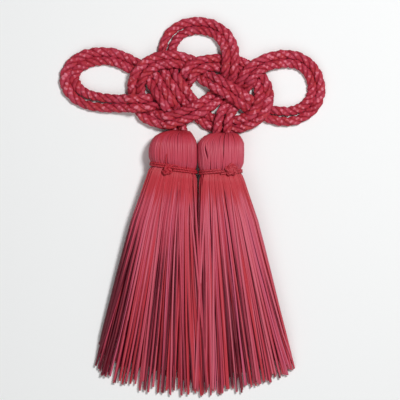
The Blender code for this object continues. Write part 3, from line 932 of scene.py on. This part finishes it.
@dataclass
class Tassel:
    """A tassel of rush stems: bent over in a domed head, tied at the waist and fanned out below.

    Columns of the partings: x, y, half width, half length, reach and slope. Columns of the strays, which
    are the stems that lie on top and cross the others: x and y of both ends, and radius.
    """

    name: str
    node: str
    sections: Table
    hem: Table
    finish: StemFinish
    dye: StemDye
    seed: int
    waist_y: float
    partings: Table = ()
    lean_reach: float = 11.0
    lean_width: float = 4.0
    strays: Table = ()
    stray_sunk: float = 1.0
    stray_lift: float = 1.6
    stray_lifted: tuple[float, float] = (0.0, 0.2)
    stray_thinned: tuple[float, float] = (0.0, 0.4)
    stray_shades: tuple[float, float] = (0.3, 0.8)
    stray_warmths: tuple[float, float] = (0.0, 0.6)
    stray_slack: float = 1.1
    stray_thin: float = 0.55
    columns: int = 42
    layers: int = 7
    thin_stem: float = 0.50
    thick_stem: float = 0.76
    least_stem: float = 0.42
    cell_share: float = 0.66
    mean_gap: float = 0.66
    end_gap: float = 0.2
    clumps: tuple[tuple[float, float], ...] = ((11.3, 0.60), (17.9, 0.55))
    notches: int = 30
    notch_steps: tuple[float, float] = (0.45, 1.55)
    notch_widths: tuple[float, float] = (0.90, 2.10)
    notch_depths: tuple[float, float] = (1.5, 5.5)
    clump_ends: tuple[float, float] = (-1.9, 1.9)
    under_layers: int = 4
    undercut: tuple[float, float] = (4.0, 9.0)
    hem_flatness: float = 0.76
    hem_width: float = 0.995
    droop: float = 0.36
    droop_y: float = -80.0
    bent_end: float = 0.9
    tie_half: float = 0.9
    full_y: float = -100.0
    neck_steps: tuple[float, ...] = (0.0, 2.0, 4.5, 8.0)
    skirt_heights: tuple[float, ...] = (7.0, -1.5, -9.8, -25.0, -42.0, -60.0)
    hem_unevenness: float = 0.35
    waist_unevenness: float = 0.1
    shades: tuple[float, float] = (-0.12, 1.18)
    warmths: tuple[float, float] = (-0.3, 1.1)
    edge_cooling: float = 0.7
    stem_sides: int = 7
    stem_cuts: int = 12
    slant: float = 0.4
    head_stems: int = 84
    head_unevenness: float = 0.12
    head_girth: float = 0.84
    head_stem: float = 0.34
    head_steps: tuple[float, ...] = (-0.5, 0.2, 1.6, 3.6, 6.0, 8.6, 11.2, 13.8, 16.4)
    foot_steps: tuple[float, ...] = (4.6, 2.6, 0.9, -1.0)
    head_middle: float = 12.0
    head_wander: float = 0.022
    head_sizes: tuple[float, float] = (0.92, 1.08)
    head_depths: tuple[float, float] = (0.7, 1.0)
    head_shades: tuple[float, float] = (0.0, 0.8)
    head_warmths: tuple[float, float] = (0.0, 0.5)
    tucked_in: tuple[float, float] = (0.45, 0.35)
    rim_points: int = 720
    roundness: float = 0.85
    flat_roundness: float = 0.16
    core_inset: float = 1.3
    core_taper: float = 3.6
    core_below: float = 4.0
    core_sides: int = 24
    longest: float = -0.8
    end_spread: float = 3.6
    end_power: float = 1.1
    bow: float = 0.35
    floor_gap: float = 0.03
    number_grain: float = 7.3
    head_numbers: float = 500.0
    stray_numbers: float = 900.0
    chance: np.random.Generator = field(init=False)
    mesh: PieceMesh = field(init=False)
    stem: np.ndarray = field(init=False)
    stem_faces: list[list[int]] = field(init=False)

    @property
    def start_y(self) -> float:
        """Where the stems of the skirt start, inside the tie."""
        return self.waist_y + self.tie_half

    def build(self) -> None:
        """Makes the tassel and dresses it."""
        self.chance = np.random.default_rng(self.seed)
        self.mesh = PieceMesh(self.name)
        self.make_stem()
        self.add_core()
        self.add_skirt()
        self.add_strays()
        self.add_head()
        self.mesh.finished(self.node, Dress.TASSEL, self.finish.material())

    def make_stem(self) -> None:
        """Makes one straight stem of height 1, which is bent along every path."""
        bpy.ops.object.select_all(action="DESELECT")
        bpy.ops.mesh.primitive_cylinder_add(vertices=self.stem_sides, radius=1.0, depth=1.0,
                                            end_fill_type="NGON", location=(0.0, 0.0, 0.5))
        bpy.ops.object.transform_apply(location=True, rotation=True, scale=True)
        bpy.ops.object.mode_set(mode="EDIT")
        for cut in range(1, self.stem_cuts):
            bpy.ops.mesh.select_all(action="SELECT")
            bpy.ops.mesh.bisect(plane_co=(0.0, 0.0, cut / self.stem_cuts), plane_no=(0.0, 0.0, 1.0))
        bpy.ops.object.mode_set(mode="OBJECT")
        made = bpy.context.view_layer.objects.active
        self.stem = np.array([tuple(vert.co) for vert in made.data.vertices])
        self.stem_faces = [list(face.vertices) for face in made.data.polygons]
        bpy.data.objects.remove(made)

    def section(self, y: np.ndarray) -> np.ndarray:
        """Rows of y, left, right, low, high and lean: the tassel's section at some heights."""
        rows = np.array(self.sections)[::-1]
        return np.column_stack([y] + [np.interp(y, rows[:, 0], column) for column in rows.T[1:]])

    def inset(self, rows: np.ndarray, by: np.ndarray) -> np.ndarray:
        """Sections made smaller all round."""
        return rows + np.outer(by, (0, 1, -1, 1, -1, 0))

    def level(self, rows: np.ndarray, across: np.ndarray, upward: np.ndarray) -> np.ndarray:
        """Heights of points of sections that are domed on top."""
        dome = np.where(upward > 0, np.sqrt(1 - self.roundness * across ** 2 / 2), 1.0)
        return (rows[:, 3] + rows[:, 4]) / 2 + (rows[:, 4] - rows[:, 3]) / 2 * upward * dome

    def place(self, rows: np.ndarray, across: np.ndarray, upward: np.ndarray) -> np.ndarray:
        """Points of sections that are round on top and flat underneath.

        Args:
            rows: A section for each point.
            across: From -1 at the left to 1 at the right.
            upward: From -1 on the surface to 1 on top.

        Returns:
            The points, one in each row.
        """
        y, left, right, _, _, lean = rows.T
        drawn_in = np.where(upward > 0, self.roundness, self.flat_roundness)
        x_offset = (right - left) / 2 * across * np.sqrt(1 - drawn_in * upward ** 2 / 2)
        z = self.level(rows, across, upward)
        return np.column_stack(((left + right) / 2 + x_offset, y + lean * x_offset, z))

    def top_at(self, x: np.ndarray, y: np.ndarray) -> np.ndarray:
        """Height of the tassel's top at some places, or of its nearer edge beyond its sides.

        Args:
            x: The places across.
            y: The places along.

        Returns:
            The heights.
        """
        rows = self.section(y)
        left, right = rows[:, 1], rows[:, 2]
        upward = 1 + 2 * (self.hem_flatness - 1) * self.eased(rows)
        drooping = rising(y, self.droop_y, self.sections[-1][0])
        upward = (upward + 1) * (1 - (1 - self.droop) * drooping) - 1
        drawn_in = np.sqrt(1 - self.roundness * np.maximum(upward, 0) ** 2 / 2)
        across = np.clip((x - (left + right) / 2) / ((right - left) / 2 * drawn_in), -1, 1)
        return self.level(rows, across, upward)

    def spread(self, rows: np.ndarray) -> np.ndarray:
        """The share of the hem's extra width that some sections have."""
        narrow, wide = (row[2] - row[1] for row in self.section(np.array([self.start_y, self.full_y])))
        return rising(rows[:, 2] - rows[:, 1], narrow, wide)

    def eased(self, rows: np.ndarray) -> np.ndarray:
        """How far stems have fanned out at some sections, from 0 at the waist to 1 at the hem."""
        return 1 - np.cos(self.spread(rows) * math.pi / 2)

    def add_core(self) -> None:
        """Adds the closed body of stems that lies under the ones that show in the head."""
        lowest = self.waist_y - self.core_below
        heights = np.array([row[0] for row in self.sections if row[0] > lowest])[::-1]
        insets = np.full(len(heights), self.core_inset)
        insets[0] *= self.core_taper
        rows = np.repeat(self.inset(self.section(heights), insets), self.core_sides, axis=0)
        corner = np.tile(math.tau * np.arange(self.core_sides) / self.core_sides, len(heights))
        points = self.place(rows, *on_square(corner))
        # The core's low shade is painted shade: it shows dark through the gaps and partings between the
        # head's stems.
        levels = {"shade": 0.25, "warmth": 0.3, "glow": 0.0, "tip": 0.0, "grain": points}
        self.mesh.add(points, tube_faces(len(heights), self.core_sides), levels)

    def bend_stem(self, path: np.ndarray, radii: np.ndarray, looks: tuple[float, float, float, float],
                  cut_end: bool = True) -> None:
        """Adds a stem bent along a path.

        Args:
            path: A point of its centreline for each of its rings.
            radii: The stem's radius at each ring.
            looks: Its shade, its warmth, how near the dark edge it ends and its number for the grain.
            cut_end: True where its lower end is a cut end that shows, a little on the slant.
        """
        ring = np.rint(self.stem[:, 2] * (len(path) - 1)).astype(int)
        last = ring == len(path) - 1
        along = directions(path)
        side = np.cross(along, (0.0, 0.0, 1.0))
        side /= np.linalg.norm(side, axis=1)[:, None]
        up = np.cross(side, along)
        across, upward = self.stem[:, :1], self.stem[:, 1:2]
        points = path[ring] + radii[ring][:, None] * (across * side[ring] + upward * up[ring])
        if cut_end:
            slant = self.chance.uniform(-self.slant, self.slant) * radii[-1]
            points[last] += along[-1] * across[last] * slant
        points[:, 2] = np.maximum(points[:, 2], self.floor_gap)
        shade, warmth, edge, number = looks
        levels = self.dye.levels(path[ring][:, 1] - self.waist_y, shade, warmth, edge)
        levels["tip"] = last.astype(float) * cut_end
        levels["grain"] = np.column_stack((self.stem[:, :2] * radii[ring][:, None], arc_lengths(path)[ring]))
        levels["grain"][:, 0] += self.number_grain * number
        self.mesh.add(points, self.stem_faces, levels)

    def drawn_looks(self, shades: tuple[float, float], warmths: tuple[float, float],
                    number: float) -> tuple[float, float, float, float]:
        """Looks of a stem that doesn't end near the dark edge."""
        return self.chance.uniform(*shades), self.chance.uniform(*warmths), 0.0, number

    def parted(self, path: np.ndarray) -> np.ndarray:
        """Moves a stem aside where the stems of the head part.

        Args:
            path: The stem's path.

        Returns:
            The moved path.
        """
        moved = path.copy()
        for x, y, half_width, half_length, reach, slope in self.partings:
            beyond = path[:, 1] - y
            near = np.sin(np.clip(1 - np.abs(beyond) / half_length, 0, 1) * math.pi / 2)
            aside = float(np.interp(-y, -path[:, 1], path[:, 0])) - x
            moved[:, 0] += math.copysign(half_width, aside) * near * math.exp(-abs(aside) / reach)
            leaning = np.cos(np.clip(beyond / self.lean_reach, -1, 1) * math.pi / 2) ** 2
            moved[:, 0] += slope * beyond * leaning * math.exp(-(aside / self.lean_width) ** 2)
        return moved

    def hem_places(self) -> tuple[np.ndarray, np.ndarray]:
        """Stems of one layer side by side at the hem, of uneven thickness and with uneven gaps.

        Returns:
            Their places from -1 to 1, and their radii.
        """
        radii = self.chance.uniform(self.thin_stem, self.thick_stem, self.columns)
        gaps = self.chance.exponential(self.mean_gap, self.columns + 1)
        gaps[[0, -1]] *= self.end_gap
        far = np.cumsum(2 * radii + gaps[:-1])
        places = 2 * (far - radii) / (far[-1] + gaps[-1]) - 1
        for waves, strength in self.clumps:
            places = places + strength * np.sin(places * waves * math.pi + self.seed) / (waves * math.pi)
        return np.clip(places, -1, 1), radii

    def hem_notches(self) -> np.ndarray:
        """The notches between the clumps of stems at the hem.

        Returns:
            A row for each: its place from -1 to 1, its width, its depth, and how much shorter the clump
            to its right is.
        """
        steps = self.chance.uniform(*self.notch_steps, self.notches + 1)
        ranges = (self.notch_widths, self.notch_depths, self.clump_ends)
        drawn = [self.chance.uniform(*limits, self.notches) for limits in ranges]
        return np.column_stack([2 * np.cumsum(steps)[:-1] / steps.sum() - 1] + drawn)

    def notched(self, notches: np.ndarray, across: float, radius: float, layer: int) -> tuple[float, float]:
        """Fits a stem to the notches: the layers on top stand aside, and those under them end above them.

        Args:
            notches: The notches.
            across: The stem's place at the hem, from -1 to 1.
            radius: Its radius.
            layer: Its layer, counted from the surface.

        Returns:
            Its place, and the length that it lacks.
        """
        half_width = (self.sections[-1][2] - self.sections[-1][1]) / 2
        place, width, depth, _ = notches[np.argmin(np.abs(notches[:, 0] - across))]
        clump = notches[notches[:, 0] <= across, 3]
        shorter = clump[-1] if len(clump) else 0.0
        aside = (across - place) * half_width
        clear = width / 2 + radius
        if abs(aside) >= clear:
            return across, shorter
        if layer < self.under_layers:
            return across, shorter + depth
        return place + math.copysign(clear, aside) / half_width, shorter

    def add_skirt(self) -> None:
        """Adds the stems from the waist, where they lie deeper and closer, to the hem."""
        notches = self.hem_notches()
        for layer in range(self.layers):
            for column, (hem_across, radius) in enumerate(zip(*self.hem_places())):
                self.add_skirt_stem(notches, layer, column, hem_across, radius)

    def add_skirt_stem(self, notches: np.ndarray, layer: int, column: int, hem_across: float,
                       hem_radius: float) -> None:
        """Adds one stem of the skirt.

        Args:
            notches: The notches of the hem.
            layer: Its layer, counted from the surface.
            column: Its place in the layer.
            hem_across: Its place at the hem, from -1 to 1.
            hem_radius: Its radius at the hem.
        """
        uniform = self.chance.uniform
        loose, tight = self.hem_unevenness, self.waist_unevenness
        hem_upward = (layer + 0.5 + uniform(-loose, loose)) / self.layers * 2 * self.hem_flatness - 1
        waist_across = (column + (layer % 2) / 2 + 0.25 + uniform(-tight, tight)) / self.columns * 2 - 1
        waist_upward = (layer + 0.5 + uniform(-tight, tight)) / self.layers * 2 - 1
        hem_across, shorter = self.notched(notches, hem_across, hem_radius, layer)
        end = np.interp((hem_across + 1) / 2, *np.array(self.hem).T) + self.longest + shorter
        end += self.end_spread * self.chance.random() ** self.end_power
        end += uniform(*self.undercut) * (layer < self.under_layers)
        neck = self.start_y - np.array(self.neck_steps)
        heights = (neck, self.skirt_heights, (self.droop_y, end + self.bent_end, end))
        rows = self.section(np.concatenate(heights))
        eased = self.eased(rows)
        across = waist_across + (hem_across - waist_across) * eased
        upward = waist_upward + (hem_upward - waist_upward) * eased
        upward[-2:] = (upward[-2:] + 1) * self.droop - 1
        across[-2:] *= self.hem_width / np.sqrt(1 - self.flat_roundness * upward[-2:] ** 2 / 2)
        cell = (rows[:, 2] - rows[:, 1]) / self.columns
        radii = np.clip(cell * self.cell_share, self.least_stem, hem_radius)
        path = self.place(self.inset(rows, radii), across, upward)
        path[:, 0] += self.chance.normal(0, self.bow) * np.sin(self.spread(rows) * math.pi) ** 2
        # Painted shade: the lower a stem's layer, the darker it is, under the layers above.
        shade = uniform(*self.shades) * ((layer + 1) / self.layers) ** 0.5
        # Stems that end near the left edge are cooler and darker, partly their own colour and partly painted
        # shade.
        edge = max(-hem_across, 0) ** 2
        warmth = uniform(*self.warmths) - self.dye.dark_edge * self.edge_cooling * edge
        self.bend_stem(path, radii, (shade, warmth, edge, float(layer * self.columns + column)))

    def add_strays(self) -> None:
        """Adds the few stems that lie on top and cross the others."""
        share = np.append(np.linspace(0, 0.99, self.stem_cuts), 1.0)
        for number, (start_x, start_y, end_x, end_y, radius) in enumerate(self.strays):
            bow = self.chance.normal(0, self.bow)
            x = start_x + (end_x - start_x) * share + bow * np.sin(share * math.pi)
            y = start_y + (end_y - start_y) * share
            lift = self.stray_lift * rising(share, *self.stray_lifted) - self.stray_sunk
            height = self.top_at(x, y) + radius * lift
            height -= self.stray_slack * (1 - self.eased(self.section(y)))
            looks = self.drawn_looks(self.stray_shades, self.stray_warmths, self.stray_numbers + number)
            radii = radius * (self.stray_thin + (1 - self.stray_thin) * rising(share, *self.stray_thinned))
            self.bend_stem(np.column_stack((x, y, height)), radii, looks)

    def add_head(self) -> None:
        """Adds the stems that show round the domed head, tucked in at its top and under the tie."""
        top = self.sections[0][0]
        corner = np.linspace(0, math.tau, self.rim_points, endpoint=False)
        across_all, upward_all = on_square(corner)
        middle = np.repeat(self.section(np.array([top - self.head_middle])), len(corner), axis=0)
        rim = self.place(middle, across_all, upward_all)
        around = arc_lengths(np.vstack((rim, rim[:1])))
        uneven = self.chance.uniform(-self.head_unevenness, self.head_unevenness, self.head_stems)
        head, foot = top - np.array(self.head_steps), self.waist_y + np.array(self.foot_steps)
        rows = self.section(np.concatenate((head, foot)))
        girth = 2 * (rows[:, 2] - rows[:, 1] + rows[:, 4] - rows[:, 3]) * self.head_girth
        even_radii = np.clip(girth / self.head_stems * self.cell_share, self.head_stem, self.thick_stem)
        for number, place in enumerate((np.arange(self.head_stems) + uneven) / self.head_stems):
            index = int(np.interp(place * around[-1], around, np.arange(len(around)))) % len(corner)
            radii = even_radii * self.chance.uniform(*self.head_sizes)
            wander = self.chance.normal(0, self.head_wander)
            across = across_all[index] + wander * np.linspace(1, -1, len(rows))
            upward = np.full(len(rows), upward_all[index])
            across[0] *= self.tucked_in[0]
            upward[0] *= self.tucked_in[1]
            inner = self.inset(rows, radii * self.chance.uniform(*self.head_depths))
            path = self.parted(self.place(inner, np.clip(across, -1, 1), upward))
            looks = self.drawn_looks(self.head_shades, self.head_warmths, self.head_numbers + number)
            self.bend_stem(path, radii, looks, cut_end=False)


@dataclass
class Tie:
    """A string wound twice round a tassel's waist, knotted in front, with two short free ends.

    Columns of an end: x, y and lift from the stems. Columns of the wobbles: size and waves in a radian.
    """

    name: str
    node: str
    tassel: Tassel
    make: CordMake
    knot_make: CordMake
    end_make: CordMake
    finish: StringFinish
    knot_place: tuple[float, float]
    knot_size: Vector3
    ends: tuple[Table, ...]
    seed: int
    sunk: float = 0.10
    turn_gap: float = 1.22
    wobbles: Table = ((0.14, 2.3), (0.05, 5.1))
    windings: int = 2
    points_per_turn: int = 160
    points_per_end: int = 60
    least_rings: int = 8
    knot_waves: int = 3
    knot_turn: float = math.pi / 2
    knot_loops: int = 2
    knot_reach: float = 1.5
    core_share: float = 0.62
    core_sides: int = 16
    core_rings: int = 9
    core_cap: float = 0.12

    def build(self) -> None:
        """Makes the tie and dresses it."""
        mesh = PieceMesh(self.name)
        self.add_string(mesh, self.wound_line(), self.make, self.seed)
        self.add_knot_core(mesh)
        self.add_string(mesh, self.knot_line(), self.knot_make, self.seed + 1)
        for number, line in enumerate(self.end_lines()):
            self.add_string(mesh, line, self.end_make, self.seed + number + 2)
        mesh.finished(self.node, Dress.TIE, self.finish.material())

    def add_string(self, mesh: PieceMesh, line: np.ndarray, make: CordMake, seed: int) -> None:
        """Adds a stretch of string along a line.

        Args:
            mesh: The piece.
            line: The line that it follows.
            make: How the string is laid.
            seed: What makes it differ from other stretches.
        """
        along = arc_lengths(line)
        at = np.linspace(0, along[-1], max(self.least_rings, round(along[-1] / make.step)))
        smooth = np.column_stack([np.interp(at, along, column) for column in line.T])
        make.lay(mesh, smooth, at / make.pitch, FrameKind.CARRIED, seed)

    def wound_line(self) -> np.ndarray:
        """The line of the windings, from the knot round the waist, on its stems, and back to the knot.

        Returns:
            The points, one in each row.
        """
        turn = math.pi / 2 + np.linspace(0, math.tau * self.windings, self.points_per_turn * self.windings)
        rows = self.tassel.section(np.full(len(turn), self.tassel.waist_y))
        outside = self.tassel.inset(rows, np.full(len(turn), self.sunk - self.make.half))
        line = self.tassel.place(outside, *on_square(turn))
        (slow, slow_waves), (quick, quick_waves) = self.wobbles
        line[:, 1] += np.linspace(0.5, -0.5, len(turn)) * self.turn_gap * self.windings
        line[:, 1] += slow * np.sin(turn * slow_waves + self.seed) + quick * np.sin(turn * quick_waves)
        return line

    @property
    def knot_middle(self) -> np.ndarray:
        """The middle of the knot in front."""
        on_top = self.tassel.top_at(np.array([self.knot_place[0]]), np.array([self.tassel.waist_y]))[0]
        return np.array([*self.knot_place, on_top + self.knot_size[2] / 2])

    def add_knot_core(self, mesh: PieceMesh) -> None:
        """Adds the closed inside of the knot, which its string lies round.

        Args:
            mesh: The piece.
        """
        slope = np.linspace(self.core_cap, math.pi - self.core_cap, self.core_rings)
        slope = np.repeat(slope, self.core_sides)
        around = np.tile(math.tau * np.arange(self.core_sides) / self.core_sides, self.core_rings)
        out = np.sin(slope)
        ball = np.column_stack((out * np.cos(around), out * np.sin(around), np.cos(slope)))
        points = ball * np.array(self.knot_size) * self.core_share / 2 + self.knot_middle
        # A crest of 0.3 gives the knot's core part of the painted shade of the string's grooves.
        levels = {"crest": 0.3, "top": 0.0, "grain": points}
        mesh.add(points, tube_faces(self.core_rings, self.core_sides), levels)

    def knot_line(self) -> np.ndarray:
        """The line of the knot in front: loops round its middle that pass over and under each other.

        Returns:
            The points, one in each row.
        """
        t = np.linspace(0, math.tau, self.points_per_turn)
        out = self.knot_reach + np.cos(self.knot_waves * t)
        turn = self.knot_loops * t + self.knot_turn
        line = np.column_stack((out * np.cos(turn), out * np.sin(turn), np.sin(self.knot_waves * t)))
        reach = np.array((self.knot_reach + 1, self.knot_reach + 1, 1))
        return line * (np.array(self.knot_size) / 2 - self.knot_make.half) / reach + self.knot_middle

    def end_lines(self) -> list[np.ndarray]:
        """The lines of the knot's loops and free ends, which lie on the stems.

        Returns:
            A list of lines.
        """
        lines = []
        for end in self.ends:
            x, y, lift = np.array(end).T
            level = self.tassel.top_at(x, y) + self.end_make.half + lift
            points = np.vstack((self.knot_middle, np.column_stack((x, y, level))))
            at = arc_lengths(points)
            lines.append(Spline(at, points).read(np.linspace(0, at[-1], self.points_per_end)))
        return lines


@dataclass
class Setting:
    """The pale floor, the soft light and the camera that looks straight down.

    The view's sizes and the camera's height are in millimetres, the floor's and the lights' in metres.
    """

    view_width: float = 248.0
    view_middle: tuple[float, float] = (4.5, 3.2)
    view_level: float = 8.0
    camera_height: float = 1600.0
    sensor: float = 36.0
    floor_size: float = 6.0
    floor_colour: Colour = (0.90, 0.91, 0.91)
    surround: float = 0.12

    def build(self) -> None:
        """Makes the floor, the lights and the camera."""
        self.add_floor()
        self.add_light("key_light", (0.37, 0.33, 0.98), 0.22, 9.0)
        self.add_light("fill_light", (-0.40, -0.76, 1.15), 1.20, 6.2)
        self.add_surround()
        self.add_camera()

    def add_floor(self) -> None:
        """Adds the floor that the ornament lies on."""
        bpy.ops.object.select_all(action="DESELECT")
        bpy.ops.mesh.primitive_plane_add(size=self.floor_size, location=(0.0, 0.0, 0.0))
        floor = bpy.context.view_layer.objects.active
        floor.name = "floor"
        bench = FinishBench("pale_floor")
        bench.shader.inputs["Base Color"].default_value = (*self.floor_colour, 1.0)
        bench.shader.inputs["Roughness"].default_value = 0.8
        bench.shader.inputs["Specular IOR Level"].default_value = 0.1
        floor.data.materials.append(bench.material)

    def add_light(self, name: str, place: Vector3, size: float, power: float) -> None:
        """Adds a square light that faces the ornament.

        Args:
            name: Its name.
            place: Where it is.
            size: The length of its side.
            power: Its power, in watts.
        """
        bpy.ops.object.light_add(type="AREA", location=place)
        light = bpy.context.view_layer.objects.active
        light.name = name
        light.data.shape = "SQUARE"
        light.data.size = size
        light.data.energy = power
        light.rotation_mode = "QUATERNION"
        light.rotation_quaternion = Vector(place).to_track_quat("Z", "Y")

    def add_surround(self) -> None:
        """Adds a pale surround that lights the shadows."""
        world = bpy.context.scene.world or bpy.data.worlds.new("surround")
        bpy.context.scene.world = world
        world.use_nodes = True
        surround = world.node_tree.nodes["Background"]
        surround.inputs["Color"].default_value = (1.0, 1.0, 1.0, 1.0)
        surround.inputs["Strength"].default_value = self.surround
        bpy.context.scene.view_settings.view_transform = "Standard"

    def add_camera(self) -> None:
        """Adds the camera straight above the middle of the view."""
        x, y = (value * MM for value in self.view_middle)
        bpy.ops.object.camera_add(location=(x, y, self.camera_height * MM), rotation=(0.0, 0.0, 0.0))
        camera = bpy.context.view_layer.objects.active
        camera.data.sensor_width = self.sensor
        camera.data.lens = self.sensor * (self.camera_height - self.view_level) / self.view_width
        bpy.context.scene.camera = camera


def main() -> None:
    """Builds the ornament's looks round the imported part."""
    logging.basicConfig(level=logging.INFO, format="%(name)s: %(message)s")
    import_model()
    Setting().build()

    route = KnotRoute(NECK_AND_LEFT_LOOP + CROSSING_TO_THE_RIGHT + TOP_LOOP
                      + CROSSING_TO_THE_LEFT_AND_BACK + RIGHT_LOOP_AND_NECK)
    rope = CordMake(ply_offset=1.30, ply_reach=1.36, ply_breadth=1.66, pitch=15.6, ply_sides=20,
                    strands=3, strand_ridge=0.05, strand_pitch=9.0, step=0.62, plies=3, widened=1.08,
                    unevenness=0.13, uneven_waves=(9.3, 23.7, 41.0), roughness=0.085)
    KnotRopes(route, rope, RopeFinish()).build()

    stems = StemFinish()
    # The right tassel is paler than the left and darkens less towards its hem: partly painted light and
    # shade, as the light falls from the right.
    left_dye = StemDye(brightness=0.01, warm=0.08, darkening=0.39, dark_edge=1.22)
    right_dye = StemDye(brightness=0.16, warm=0.00, darkening=0.10)
    left = Tassel("rush_stems_left", "left_tassel", LEFT_SECTIONS, LEFT_HEM, stems, left_dye, seed=11,
                  waist_y=23.1,
                  strays=((0.2, 23.6, 8.6, -115.0, 0.80), (-4.0, 23.8, 9.4, -113.4, 0.74),
                          (-9.0, 24.6, -4.5, -114.0, 0.78), (-16.0, 25.0, -31.0, -109.5, 0.80)))
    right = Tassel("rush_stems_right", "right_tassel", RIGHT_SECTIONS, RIGHT_HEM, stems, right_dye, seed=29,
                   waist_y=20.7,
                   partings=((8.6, 32.4, 0.80, 5.0, 1.6, -0.30), (18.6, 33.4, 0.36, 9.0, 0.8, 0.0)),
                   strays=((6.0, 21.0, 3.0, -115.8, 0.80), (9.0, 21.2, 1.6, -114.4, 0.76),
                           (13.0, 21.6, 12.6, -114.6, 0.80), (22.0, 22.0, 40.0, -109.0, 0.78)))
    left.build()
    right.build()

    string = CordMake(ply_offset=0.28, ply_reach=0.36, ply_breadth=0.52, pitch=3.4, ply_sides=8, strands=2,
                      strand_pitch=5.0, step=0.32, plies=2, unevenness=0.08, uneven_waves=(2.7, 6.1, 13.0))
    doubled = replace(string, ply_offset=0.37, ply_reach=0.47, ply_breadth=0.68, pitch=4.2, step=0.36)
    single = replace(string, ply_offset=0.20, ply_reach=0.26, ply_breadth=0.37, pitch=2.8, strand_pitch=4.0,
                     step=0.30)
    red = StringFinish()
    faded = StringFinish(groove_shade=(0.340, 0.018, 0.034), body=(0.470, 0.026, 0.044),
                         crest=(0.600, 0.070, 0.090))
    left_ends = (((-16.2, 24.6, 0.0), (-16.6, 27.4, -0.3), (-16.0, 31.6, -0.5)),
                 ((-13.2, 24.2, 0.3), (-10.6, 24.6, 0.1), (-7.4, 22.8, 0.0)))
    right_ends = (((21.0, 20.4, 0.2), (19.4, 19.4, 0.0), (18.4, 19.6, -0.2)),
                  ((26.0, 23.6, 0.2), (27.6, 22.4, 0.0), (28.8, 21.6, -0.2)))
    Tie("string_tie_left", "left_tie", left, string, doubled, single, red, (-15.6, 21.5), (6.6, 6.4, 4.0),
        left_ends, seed=41).build()
    Tie("string_tie_right", "right_tie", right, string, doubled, single, faded, (23.9, 22.0), (8.6, 8.2, 4.2),
        right_ends, seed=53, knot_waves=5, knot_turn=0.3, core_share=0.8).build()


if __name__ == "__main__":
    main()
